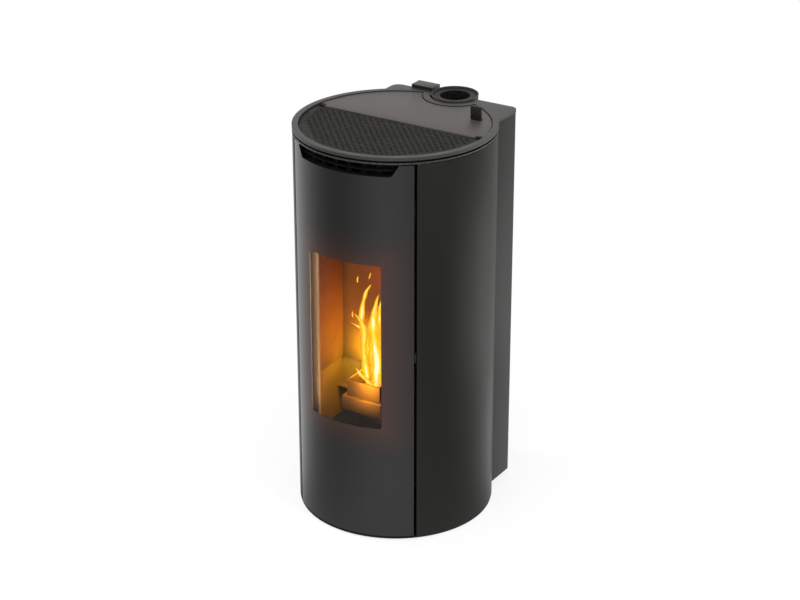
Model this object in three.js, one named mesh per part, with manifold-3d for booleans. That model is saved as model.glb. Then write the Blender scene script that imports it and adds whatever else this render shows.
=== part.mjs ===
// Pellet stove: a round drum with a full-height curved glass door, a sheet-steel housing behind it,
// a round top with a grille and a fuel lid, and a flue that rises in a channel at the back.
// Millimetres, +Z up, front towards -Y. Everything is laid out round the drum's upright axis, and
// the outer group then moves the stove so that its origin lies under the middle of its outline.
import * as THREE from "three";
import { mergeVertices } from "three/addons/utils/BufferGeometryUtils.js";
import Module from "manifold-3d";

const wasm = await Module();
wasm.setup();

// Driving dimensions. Ranges are [low, high]; angles are degrees from the front, positive to +X.
const clearance = 0.3;
const weld = 1;
const overrun = 6;
const arcStep = 3.75;

const stove = { radius: 260, height: 1064, skin: 2, floorGap: 4 };
const top = { plate: 8, shadow: 5, trim: 5, panelGap: 2, rimInside: 15, overhang: 1, edge: 3 };
const seam = { width: 6.8, doorAngle: 42.7, flangeDepth: 18 };
const base = { thickness: 4, inset: 1, nutRadius: 9, nutHeight: 12 };
const foot = { padRadius: 20, studRadius: 5, studLength: 36, inset: 68.775, bearing: 35.851, stop: 0.5 };
const housing = { centreX: 25.9, halfWidth: 185.9, short: 2, bottom: 20, cornerRadius: 22, tuck: 8 };
const channel = { radius: 66 };
const flue = {
  x: 21.5, shroudRadius: 61, pipeRadius: 40, wall: 1.6, rise: 5, bead: 1.6, beadHeight: 4, ledgeDrop: 5,
  ledge: 2, notchRadius: 66, tongueRadius: 84, baseHalfWidth: 52, baseBehind: 59, baseFloor: 60,
  baseTop: 150, baseAhead: 33,
};
const clamp = { thickness: 2, height: 20, ear: 30, belowTop: 184, lower: 400 };
const frame = { width: 28.5, shadowStep: 8.5, barFront: 3, barRear: 20 };
const upright = { inset: 36, wall: 2.5, fromAngle: 45.1, toAngle: 50.1 };
const grille = { thickness: 2.5, slotLength: 30, slotWidth: 7, pitchX: 40, pitchY: 15, margin: 9 };
const lid = {
  chord: 12, gap: 1.5, rimGap: 2.2, thickness: 6, flueGap: 2.2, notchWidth: 20.5, notchY: 26,
  handleInset: 39.77, handleBearing: 37.875, handleWidth: 30, handleThickness: 8, handleHeight: 36,
  footDepth: 6, footThickness: 2.5,
};
const lidHinge = { pinRadius: 1.5, pinReach: 17, running: 0.25, blockWidth: 11, blockHeight: 7 };
const receiver = {
  lowX: -109, highX: -44, depth: 31.7, drop: 79, rise: 9, lip: 6, edge: 2, windowMargin: 2.5,
  windowDepth: 1.4,
};
const door = {
  glass: 4, sheet: 3, floorGap: 2, hingeInset: 9, hingeAngle: -41.6, pinRadius: 3, running: 0.3,
  stileAngle: 3, stileEdge: 0.3, stileInset: 22, frameLow: 14, underSlot: 10, railLow: 26, railHigh: 22,
  earGap: 3,
};
const slot = {
  topAngle: 34.7, lowAngle: 30.3, height: 30, louvreInset: 19, louvreDepth: 10, wall: 2, vane: 2,
};
const pane = { halfAngle: 24.3, low: 326, header: 225, frameMargin: 12 };
const seal = {
  seatAngle: 40, seatInnerAngle: 35, seatWidth: 18, ropeMargin: 5, ropeDepth: 7.4,
};
const latch = {
  height: 525, inset: 14, thickness: 4.4, tabReach: 13, tabHeight: 26, armReach: 26, armHalf: 6.5,
  hookDrop: 11, hookWidth: 5, keeperBelow: 6.5, keeperRadius: 3, keeperReach: 17, boss: 3.5,
};
const firebox = {
  inset: 30, cornerAngle: 39.987, rear: -35, low: 132, headroom: 178, wall: 4, frontDepth: 6,
  openAngle: 28, lip: 18, legInset: 1.8, legSide: 12, legFront: 74, rearLegY: [-47, -36], railX: [60, 74],
  railFront: 6, railRear: 8,
};
const liner = { thickness: 12, abovePot: 2, frontGap: 2, play: 0.5 };
const baffle = { thickness: 6, drop: 93, frontGap: 3.5, rear: -62 };
const pot = {
  halfX: 50, halfY: 45, centreY: -112, height: 44, wall: 4, neckHalfX: 42, neckHalfY: 37,
  neckDepth: 26, hole: 2.6, holePitch: 17,
};
const potHolder = { halfX: 60, front: -168, low: 312, height: 38, wall: 3 };
const ashDrawer = {
  halfX: 85, frontInset: 26, rear: -52, low: 152, high: 285, wall: 1.6, gripWidth: 70, gripDepth: 9,
  gripHeight: 12,
};
const igniter = { radius: 6, x: 25, rise: 21, rear: 28, tip: -66, headRadius: 10, headLength: 26 };
const airInlet = { radius: 25, wall: 1.6, rearX: -88, frontX: -28, rise: 21, spigot: 27, straight: 60 };
const hopper = {
  halfX: 165, front: 26, channelGap: 7, straight: 145, neckHalfX: 38, neckFront: 34, neckRear: 94,
  low: 625, wall: 2, rimWidth: 6, rim: 2.5, drop: 1,
};
const auger = {
  rootY: 100, rootZ: 504, tilt: 45, length: 158, tubeRadius: 28, tubeWall: 2.5, shaftRadius: 6,
  flightRadius: 24.5, flight: 3, pitch: 38, flightStart: 6, flightEnd: 146, inletHalfX: 40, inletLow: 540,
  outletStart: 108, gearboxSide: 64, gearboxLength: 28, motorRadius: 25, motorLength: 40, bore: 6.5,
};
const chute = { half: 26, wall: 2, tilt: 50, topY: 8, topZ: 596, length: 128 };
const exhaust = { x: [54, 102], y: [-34.7, 5], low: 115.3, drop: 23, wall: 2, portDrop: [73, 33] };
const smokeFan = {
  x: 78, y: -15, low: 72, high: 115, radius: 52, wall: 2, spoutX: [28, 64], inlet: 21, bladeRadius: 45,
  blades: 8, blade: 2, disc: 2, discRise: 5, bladeHeight: 27, hub: 10, shaft: 4, shaftDepth: 14, leg: 8,
  legInset: 3, motorRadius: 31, motorLength: 52, bore: 4.5,
};
const roomFan = {
  x: [-122, 12], behindFeet: 79, height: 66, drum: 37, blades: 14, bladeDepth: 9,
  blade: 1.6, disc: 2, shaft: 4,
  gap: 4, wall: 2, halfDepth: 48, roof: 118, outletDepth: 66, motorRadius: 28, motorLength: 40,
  bore: 4.5,
};
const board = {
  x: [102, 186], z: [520, 680], thickness: 1.6, standoff: 4, standoffInset: 9, part: 22, partHeight: 14,
};
const inlet = {
  x: [118, 150], z: [96, 150], flange: 2.2, inset: 3, depth: 26, socketMargin: 3, socketHeight: 20,
  socketDepth: 18, rockerMargin: 4.5, rockerHeight: 15, rockerGap: 0.6, rockerTilt: 9, pivot: 1.5,
  pinLength: 2,
};

// Levels that follow from the driving dimensions.
const level = {};
level.plateLow = stove.height - top.plate;
level.trimTop = level.plateLow - top.shadow;
level.trimLow = level.trimTop - top.trim;
level.panelTop = level.trimLow - top.panelGap;
level.baseTop = stove.floorGap + base.thickness;
level.panelLow = level.baseTop + clearance;
level.slotLow = level.panelTop - slot.height;
level.frameHigh = level.slotLow - door.underSlot;
level.earTop = level.panelTop - door.earGap;
level.paneHigh = level.frameHigh - pane.header;
level.fireHigh = level.trimLow - firebox.headroom;
level.linerHigh = level.fireHigh - firebox.lip;
level.exhaustHigh = level.fireHigh - exhaust.drop;
level.smokePort = exhaust.portDrop.map((drop) => level.fireHigh - drop);
level.hopperTop = level.trimLow - hopper.drop;
level.potSeat = potHolder.low + potHolder.height;
level.potLow = level.potSeat - pot.neckDepth;
level.linerLow = level.potSeat + pot.height + liner.abovePot;
level.igniter = potHolder.low + igniter.rise;
level.airInlet = potHolder.low + airInlet.rise;

// Radii that follow from the drum.
const radii = {};
radii.opening = stove.radius - top.rimInside;
radii.trim = stove.radius + top.overhang / 2;
radii.shadow = radii.trim - frame.shadowStep;
radii.frame = radii.trim - frame.width;
radii.upright = stove.radius - upright.inset;
radii.hinge = stove.radius - door.hingeInset;
radii.stile = stove.radius - door.stileInset;
radii.louvre = stove.radius - slot.louvreInset;
radii.latch = stove.radius - latch.inset;
radii.firebox = stove.radius - firebox.inset;

const radians = THREE.MathUtils.degToRad;
const angleOf = (length, radius) => THREE.MathUtils.radToDeg(length / radius);
const sideAngle = (x, radius) => 180 - THREE.MathUtils.radToDeg(Math.asin(x / radius));
const onDrum = (radius, angle) => [radius * Math.sin(radians(angle)), -radius * Math.cos(radians(angle))];
const seamPanelAngle = seam.doorAngle + angleOf(seam.width, stove.radius);
const hingeAxis = onDrum(radii.hinge, door.hingeAngle);
const [footX, footY] = onDrum(stove.radius - foot.inset, foot.bearing);
const roomFanY = footY + roomFan.behindFeet;
const housingRear = stove.radius - housing.short;
const fireSideX = onDrum(radii.firebox, firebox.cornerAngle)[0];
const fireInnerX = fireSideX - firebox.wall - clearance;
const fireFrontAt = (x) => Math.sqrt((radii.firebox - firebox.frontDepth) ** 2 - x ** 2);
const drawerFront = -(radii.firebox - ashDrawer.frontInset);
const hopperRear = housingRear - stove.skin / 2 - channel.radius - stove.skin - hopper.channelGap;
const lidNotchX = radii.opening - lid.notchWidth;

const finishes = {
  glass: new THREE.MeshStandardMaterial({ color: 0x1c1b1a, roughness: 0.08, metalness: 0 }),
  darkSteel: new THREE.MeshStandardMaterial({ color: 0x4a4541, roughness: 0.45, metalness: 0.6 }),
  greySteel: new THREE.MeshStandardMaterial({ color: 0x716c67, roughness: 0.5, metalness: 0.5 }),
  housingSteel: new THREE.MeshStandardMaterial({ color: 0x50544c, roughness: 0.55, metalness: 0.5 }),
  blackSteel: new THREE.MeshStandardMaterial({ color: 0x262624, roughness: 0.6, metalness: 0.5 }),
  castIron: new THREE.MeshStandardMaterial({ color: 0x35322f, roughness: 0.8, metalness: 0.4 }),
  zinc: new THREE.MeshStandardMaterial({ color: 0x9a9c9e, roughness: 0.4, metalness: 0.8 }),
  vermiculite: new THREE.MeshStandardMaterial({ color: 0xb38a5a, roughness: 0.95, metalness: 0 }),
  rope: new THREE.MeshStandardMaterial({ color: 0x3a3937, roughness: 1, metalness: 0 }),
  plastic: new THREE.MeshStandardMaterial({ color: 0x151515, roughness: 0.5, metalness: 0 }),
  circuit: new THREE.MeshStandardMaterial({ color: 0x1f5a3c, roughness: 0.6, metalness: 0 }),
};

/** A closed three.js geometry as a solid that can be joined and cut. */
function solidOf(geometry) {
  const bare = geometry.clone();
  bare.deleteAttribute("normal");
  bare.deleteAttribute("uv");
  const merged = mergeVertices(bare, 1e-4);
  const triVerts = new Uint32Array(merged.index.array);
  const make = () => new wasm.Manifold(
    new wasm.Mesh({ numProp: 3, vertProperties: merged.attributes.position.array, triVerts }),
  );
  const solid = make();
  if (solid.volume() > 0) return solid;
  for (let i = 0; i < triVerts.length; i += 3) {
    [triVerts[i], triVerts[i + 1]] = [triVerts[i + 1], triVerts[i]];
  }
  return make();
}

/** A solid as a geometry with flat faces. */
function geometryOf(solid) {
  const mesh = solid.getMesh();
  const geometry = new THREE.BufferGeometry();
  geometry.setAttribute("position", new THREE.BufferAttribute(new Float32Array(mesh.vertProperties), 3));
  geometry.setIndex(new THREE.BufferAttribute(new Uint32Array(mesh.triVerts), 1));
  const flat = geometry.toNonIndexed();
  flat.computeVertexNormals();
  return flat;
}

const join = (first, ...others) => others.reduce((sum, solid) => sum.add(solid), first);
const cut = (first, ...others) => others.reduce((rest, solid) => rest.subtract(solid), first);
const common = (first, second) => first.intersect(second);

function box([x0, x1], [y0, y1], [z0, z1]) {
  const geometry = new THREE.BoxGeometry(x1 - x0, y1 - y0, z1 - z0);
  return solidOf(geometry.translate((x0 + x1) / 2, (y0 + y1) / 2, (z0 + z1) / 2));
}

/** An outline of [x, y] points raised between two heights. */
function prism(outline, [z0, z1]) {
  const shape = new THREE.Shape(outline.map(([x, y]) => new THREE.Vector2(x, y)));
  const geometry = new THREE.ExtrudeGeometry(shape, { depth: z1 - z0, bevelEnabled: false });
  return solidOf(geometry.translate(0, 0, z0));
}

/** An upright cylinder at a point of the plan. */
function post(radius, [x, y], [z0, z1], sides = 32) {
  const geometry = new THREE.CylinderGeometry(radius, radius, z1 - z0, sides);
  return solidOf(geometry.rotateX(Math.PI / 2).translate(x, y, (z0 + z1) / 2));
}

/** A round bar between two points in space. */
function bar(radius, from, to, sides = 16) {
  const start = new THREE.Vector3(...from);
  const along = new THREE.Vector3(...to).sub(start);
  const geometry = new THREE.CylinderGeometry(radius, radius, along.length(), sides);
  const upright = new THREE.Vector3(0, 1, 0);
  geometry.applyQuaternion(new THREE.Quaternion().setFromUnitVectors(upright, along.clone().normalize()));
  const middle = start.addScaledVector(along, 1 / 2);
  return solidOf(geometry.translate(middle.x, middle.y, middle.z));
}

/** Points along an arc of the drum. */
function arc(radius, fromAngle, toAngle) {
  const steps = Math.max(1, Math.round(Math.abs(toAngle - fromAngle) / arcStep));
  const at = (i) => onDrum(radius, fromAngle + ((toAngle - fromAngle) * i) / steps);
  return Array.from({ length: steps + 1 }, (_, i) => at(i));
}

/** Part of a tube round the drum's axis. */
function sector([inner, outer], [fromAngle, toAngle], heights) {
  return prism([...arc(outer, fromAngle, toAngle), ...arc(inner, toAngle, fromAngle)], heights);
}

/** A profile of [radius, height] points, closed on itself, turned round an upright axis. */
function turned(profile, [x, y], sides) {
  const points = [...profile, profile[0]].map(([r, z]) => new THREE.Vector2(r, z));
  const geometry = new THREE.LatheGeometry(points, sides);
  return solidOf(geometry.rotateX(Math.PI / 2).translate(x, y, 0));
}

/** A four-sided bin whose low and high ends are rectangles of [xRange, yRange, z]. */
function taper([lowX, lowY, lowZ], [highX, highY, highZ]) {
  const ring = (x, y, z) => [[x[0], y[0], z], [x[1], y[0], z], [x[1], y[1], z], [x[0], y[1], z]];
  const corners = [...ring(lowX, lowY, lowZ), ...ring(highX, highY, highZ)];
  const geometry = new THREE.BufferGeometry();
  geometry.setAttribute("position", new THREE.Float32BufferAttribute(corners.flat(), 3));
  const next = (i) => (i + 1) % 4;
  const sides = [0, 1, 2, 3].flatMap((i) => [i, next(i), 4 + next(i), i, 4 + next(i), 4 + i]);
  geometry.setIndex([0, 2, 1, 0, 3, 2, 4, 5, 6, 4, 6, 7, ...sides]);
  return solidOf(geometry);
}

const shrink = ([low, high], by) => [low + by, high - by];
const grow = (range, by) => shrink(range, -by);
const around = (centre, half) => [centre - half, centre + half];
const mirrored = (range, sign) => range.map((x) => sign * x).sort((a, b) => a - b);

const drum = new THREE.Group();

function add(name, solid, finish, group = drum) {
  const mesh = new THREE.Mesh(geometryOf(solid), finishes[finish]);
  mesh.name = name;
  group.add(mesh);
  return mesh;
}

const flueCentre = [flue.x, housingRear - stove.skin / 2];
const baseFront = flueCentre[1] - flue.baseAhead;
const baseRear = flueCentre[1] + flue.baseBehind;
const flueColumn = (radius, heights, sides = 48) => post(radius, flueCentre, heights, sides);
const sideX = (sign) => housing.centreX + sign * housing.halfWidth;

/** A quarter arc of a rear corner, from the side to the rear or back. */
function rearCorner(sign, inset, grown = 0) {
  const radius = housing.cornerRadius - inset + grown;
  const centre = [sideX(sign) - sign * housing.cornerRadius, housingRear - housing.cornerRadius];
  const points = [0, 1, 2, 3, 4].map((i) => radians((90 * i) / 4)).map((turn) => [
    centre[0] + sign * radius * Math.cos(turn),
    centre[1] + (radius - grown) * Math.sin(turn),
  ]);
  return sign > 0 ? points : points.reverse();
}

// The drum's shell.
function buildBase() {
  const places = [-1, 1].flatMap((x) => [-1, 1].map((y) => [x * footX, -y * footY]));
  const names = ["foot_front_left", "foot_rear_left", "foot_front_right", "foot_rear_right"];
  const heights = [stove.floorGap, level.baseTop];
  let plate = post(stove.radius - base.inset, [0, 0], heights, 360 / arcStep);
  const nutZ = [level.baseTop, level.baseTop + base.nutHeight];
  for (const place of places) plate = plate.add(post(base.nutRadius, place, nutZ, 6));
  for (const place of places) {
    plate = plate.subtract(post(foot.studRadius + clearance, place, grow([0, nutZ[1]], overrun), 16));
  }
  const pin = grow([stove.floorGap, level.baseTop], overrun);
  add("base_plate", cut(plate, post(door.pinRadius + door.running, hingeAxis, pin, 16)), "blackSteel");
  places.forEach((place, i) => {
    const pad = post(foot.padRadius, place, [0, stove.floorGap - foot.stop], 32);
    add(names[i], join(pad, post(foot.studRadius, place, [0, foot.studLength], 16)), "plastic");
  });
}

function buildSidePanel(sign, name) {
  const end = sideAngle(Math.abs(sideX(sign)) - housing.tuck, stove.radius);
  const inner = stove.radius - stove.skin;
  const skin = sector([inner, stove.radius], [seamPanelAngle, end], [level.panelLow, level.panelTop]);
  const flangeEnd = seamPanelAngle + angleOf(stove.skin, stove.radius);
  const flange = sector([inner - seam.flangeDepth, inner + stove.skin / 2], [seamPanelAngle, flangeEnd],
    [level.panelLow, level.panelTop]);
  const panel = join(skin, flange);
  add(name, sign > 0 ? panel : panel.mirror([1, 0, 0]), "darkSteel");
}

function buildUpright(sign, name) {
  const outer = stove.radius - stove.skin - clearance;
  const wallAngle = angleOf(upright.wall, outer);
  const heights = [level.panelLow, level.trimLow - clearance];
  const whole = sector([radii.upright, outer], [upright.fromAngle, upright.toAngle], heights);
  const hollow = sector([radii.upright + upright.wall, outer + overrun],
    shrink([upright.fromAngle, upright.toAngle], wallAngle), grow(heights, overrun));
  const folded = cut(whole, hollow);
  add(name, sign > 0 ? folded : folded.mirror([1, 0, 0]), "zinc");
}

// The rear housing: one bent sheet with a channel for the flue, and a floor outside the drum.
const drumRoom = stove.radius + top.overhang / 2 + clearance;
const wallStart = (x) => Math.sqrt(drumRoom ** 2 - (Math.abs(x) - stove.skin) ** 2);

function channelArc(radius, reverse) {
  const steps = 16;
  const points = Array.from({ length: steps + 1 }, (_, i) => (Math.PI * i) / steps)
    .map((turn) => [flueCentre[0] + radius * Math.cos(turn), flueCentre[1] - radius * Math.sin(turn)]);
  return reverse ? points.reverse() : points;
}

function buildHousing() {
  const outline = (inset) => {
    return [
      [sideX(1) - inset, wallStart(sideX(1))],
      ...rearCorner(1, inset),
      ...channelArc(channel.radius + inset, false),
      ...rearCorner(-1, inset),
      [sideX(-1) + inset, wallStart(sideX(-1))],
    ];
  };
  const heights = [housing.bottom, level.plateLow - clearance];
  const wall = prism([...outline(0), ...outline(stove.skin).reverse()], heights);
  const inside = stove.skin / 2;
  const plan = [[sideX(1) - inside, 0], ...outline(inside), [sideX(-1) + inside, 0]];
  const floor = cut(
    prism(plan, [housing.bottom, housing.bottom + stove.skin]),
    post(drumRoom, [0, 0], grow([0, stove.height], overrun), 360 / arcStep),
  );
  const hole = [housingRear - stove.skin - overrun, housingRear + overrun];
  const spoutHole = box(grow(smokeFan.spoutX, clearance), [0, baseFront - clearance],
    grow([smokeFan.low, smokeFan.high], clearance));
  const inletHole = box(grow(shrink(inlet.x, inlet.inset), clearance), hole,
    grow(shrink(inlet.z, inlet.inset), clearance));
  const airHole = bar(airInlet.radius + clearance, [airInlet.rearX, hole[0], level.airInlet],
    [airInlet.rearX, hole[1], level.airInlet], 20);
  add("rear_housing", cut(join(wall, floor), spoutHole, inletHole, airHole), "housingSteel");
}

// The round top: a plate with a rolled rim, a trim frame under it, the grille and the fuel lid.
function buildTopPlate() {
  const rim = stove.radius + top.overhang;
  const low = level.plateLow;
  const high = stove.height;
  const ring = turned([
    [radii.opening, low], [rim, low], [rim, high - top.edge],
    [rim - top.edge * (1 - Math.cos(radians(45))), high - top.edge * (1 - Math.sin(radians(45)))],
    [rim - top.edge, high], [radii.opening + top.edge / 4, high],
    [radii.opening, high - top.edge / 4],
  ], [0, 0], 360 / arcStep);
  const right = sideX(1) + top.overhang;
  const left = sideX(-1) - top.overhang;
  const rear = [
    [right, 0],
    ...rearCorner(1, 0, top.overhang),
    ...rearCorner(-1, 0, top.overhang),
    [left, 0],
  ];
  const shape = new THREE.Shape(rear.map(([x, y]) => new THREE.Vector2(x, y)));
  const rounded = new THREE.ExtrudeGeometry(shape, {
    depth: top.plate, bevelEnabled: true, bevelThickness: top.edge, bevelSize: top.edge,
    bevelOffset: -top.edge, bevelSegments: 2,
  }).translate(0, 0, low - top.edge);
  const rearHalf = box([left - overrun, right + overrun], [0, housingRear + overrun], [low, high]);
  const deck = common(solidOf(rounded), rearHalf);
  const tall = grow([low, high], overrun);
  const opening = post(radii.opening, [0, 0], tall, 360 / arcStep);
  const tongue = common(flueColumn(flue.tongueRadius, [low, high]),
    box([left, right], [0, housingRear - top.edge], [low, high]));
  const rimmed = join(cut(join(ring, deck), opening), tongue);
  add("top_plate", cut(rimmed, flueColumn(flue.notchRadius, tall)), "greySteel");
}

function buildTopFrame() {
  const high = level.plateLow - clearance;
  const ring = turned([
    [radii.frame, level.trimLow], [radii.trim, level.trimLow], [radii.trim, level.trimTop],
    [radii.shadow, level.trimTop], [radii.shadow, high], [radii.frame, high],
  ], [0, 0], 360 / arcStep);
  const barHalf = radii.frame + weld;
  const crossBar = box([-barHalf, barHalf], [frame.barFront, frame.barRear], [level.trimLow, high]);
  const tall = grow([level.trimLow, high], overrun);
  const notch = flueColumn(channel.radius + stove.skin + clearance, tall);
  const pinHole = post(door.pinRadius + door.running, hingeAxis, tall, 16);
  add("top_frame", cut(join(ring, crossBar), notch, pinHole), "greySteel");
}

function topDisc(heights) {
  return post(radii.opening - lid.rimGap, [0, 0], heights, 360 / arcStep);
}

function buildGrille() {
  const heights = [level.plateLow, level.plateLow + grille.thickness];
  const edgeY = lid.chord - lid.gap;
  const reach = radii.opening;
  const sheet = common(topDisc(heights), box([-reach, reach], [-reach, edgeY], heights));
  const slots = [];
  const rows = Math.floor((reach + edgeY - 2 * grille.margin) / grille.pitchY);
  for (let row = 0; row < rows; row += 1) {
    const y = edgeY - grille.margin - grille.slotWidth / 2 - row * grille.pitchY;
    const free = Math.sqrt(Math.max(0, (radii.frame) ** 2 - (Math.abs(y) + grille.slotWidth) ** 2));
    const shift = (row % 2) * (grille.pitchX / 2);
    const count = Math.floor((free - shift - grille.slotLength / 2) / grille.pitchX);
    for (let i = -count - (row % 2); i <= count; i += 1) {
      const x = i * grille.pitchX + shift;
      const across = around(x, grille.slotLength / 2);
      slots.push(box(across, around(y, grille.slotWidth / 2), grow(heights, overrun)));
    }
  }
  add("top_grille", cut(sheet, ...slots), "blackSteel");
}

const lidAxis = { y: lid.chord + lid.gap + lid.thickness / 2, z: level.plateLow + lid.thickness / 2 };

function buildLid() {
  const heights = [level.plateLow, level.plateLow + lid.thickness];
  const reach = radii.opening;
  const tall = grow(heights, overrun);
  const sheet = common(topDisc(heights), box([-reach, reach], [lidAxis.y, reach], heights));
  const onAxis = (x) => [x, lidAxis.y, lidAxis.z];
  const edge = bar(lid.thickness / 2, onAxis(-lidNotchX), onAxis(lidNotchX), 16);
  const corner = (sign) => box(mirrored([lidNotchX, reach], sign), [0, lid.notchY], tall);
  const flueCut = flueColumn(flue.tongueRadius + lid.flueGap, tall);
  const bore = (sign) => bar(lidHinge.pinRadius + lidHinge.running,
    onAxis(sign * (lidNotchX + overrun)), onAxis(sign * (lidNotchX - lidHinge.pinReach - weld)), 12);
  add("pellet_lid", cut(join(sheet, edge), corner(-1), corner(1), flueCut, bore(-1), bore(1)), "greySteel");
  const low = level.plateLow + lid.thickness + clearance;
  const handle = [Math.cos, Math.sin]
    .map((part) => (radii.opening - lid.handleInset) * part(radians(lid.handleBearing)));
  const wide = around(handle[0], lid.handleWidth / 2);
  const front = handle[1] - lid.handleThickness / 2;
  const tab = box(wide, [front, front + lid.handleThickness], [low, low + lid.handleHeight]);
  const soleY = [front, front + lid.handleThickness + lid.footDepth];
  const sole = box(wide, soleY, [low, low + lid.footThickness]);
  add("lid_handle", join(tab, sole), "plastic");
  for (const [sign, name] of [[-1, "lid_hinge_left"], [1, "lid_hinge_right"]]) {
    const start = lidNotchX + lidHinge.running * 2;
    const span = mirrored([start, start + lidHinge.blockWidth], sign);
    const blockZ = [level.plateLow, level.plateLow + lidHinge.blockHeight];
    const block = box(span, around(lidAxis.y, lid.thickness / 2 + weld), blockZ);
    const pinEnds = [start + weld, lidNotchX - lidHinge.pinReach].map((x) => onAxis(sign * x));
    const pin = bar(lidHinge.pinRadius, ...pinEnds, 12);
    add(name, join(block, pin), "blackSteel");
  }
}

// The flue: an outer shroud, the smoke pipe inside it, its base box, ledge and clamps.
function buildFlue() {
  const rim = stove.height + flue.rise;
  const low = flue.baseTop + clearance;
  const outer = flue.shroudRadius;
  add("flue_shroud", turned([
    [outer - flue.wall, low], [outer, low], [outer, rim - flue.beadHeight],
    [outer + flue.bead, rim - flue.beadHeight / 2], [outer + flue.bead / 2, rim], [outer - flue.wall, rim],
  ], flueCentre, 48), "blackSteel");
  const pipeTop = rim - flue.ledgeDrop;
  add("flue_pipe", turned([
    [flue.pipeRadius - flue.wall, low], [flue.pipeRadius, low], [flue.pipeRadius, pipeTop],
    [flue.pipeRadius - flue.wall, pipeTop],
  ], flueCentre, 36), "blackSteel");
  const ledgeRange = [pipeTop - flue.ledge, pipeTop];
  add("flue_ledge", cut(flueColumn(outer - flue.wall - clearance, ledgeRange),
    flueColumn(flue.pipeRadius + clearance, grow(ledgeRange, overrun), 36)), "greySteel");
  const half = around(flue.x, flue.baseHalfWidth);
  const shell = box(half, [baseFront, baseRear], [flue.baseFloor, flue.baseTop]);
  const hollow = box(shrink(half, stove.skin), shrink([baseFront, baseRear], stove.skin),
    shrink([flue.baseFloor, flue.baseTop], stove.skin));
  const port = box(shrink(smokeFan.spoutX, smokeFan.wall), around(baseFront, overrun),
    shrink([smokeFan.low, smokeFan.high], smokeFan.wall));
  const mouth = flueColumn(flue.pipeRadius - flue.wall, around(flue.baseTop, overrun), 36);
  add("flue_base", cut(shell, hollow, port, mouth), "blackSteel");
  const places = [["flue_clamp_upper", stove.height - clamp.belowTop], ["flue_clamp_lower", clamp.lower]];
  for (const [name, z] of places) {
    const heights = [z, z + clamp.height];
    const inner = outer + clearance;
    const rearFace = housingRear + clearance;
    const reach = inner + clamp.ear;
    const hoop = common(
      cut(flueColumn(inner + clamp.thickness, heights), flueColumn(inner, grow(heights, overrun))),
      box(around(flue.x, reach), [rearFace, flueCentre[1] + reach], heights),
    );
    const earY = [rearFace, rearFace + clamp.thickness];
    const earX = (sign) => mirrored([inner, reach], sign).map((x) => flue.x + x);
    const ears = [-1, 1].map((sign) => box(earX(sign), earY, heights));
    add(name, join(hoop, ...ears), "zinc");
  }
}

function buildReceiver() {
  const x = [receiver.lowX, receiver.highX];
  const front = housingRear + clearance;
  const high = stove.height + receiver.rise;
  const lipLow = stove.height + clearance;
  const body = box(x, [front, front + receiver.depth], [stove.height - receiver.drop, high]);
  const lip = box(x, [front - receiver.lip, front + receiver.edge], [lipLow, high]);
  const windowX = shrink(x, receiver.windowMargin);
  const windowZ = [lipLow + receiver.windowMargin / 2, high - receiver.windowMargin / 2];
  const faceY = front - receiver.lip;
  const recessY = [faceY - overrun, faceY + receiver.windowDepth];
  const recess = box(grow(windowX, clearance), recessY, grow(windowZ, clearance));
  add("receiver_box", cut(join(body, lip), recess), "greySteel");
  const windowY = [faceY, faceY + receiver.windowDepth - clearance];
  add("receiver_window", box(windowX, windowY, windowZ), "plastic");
}

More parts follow.
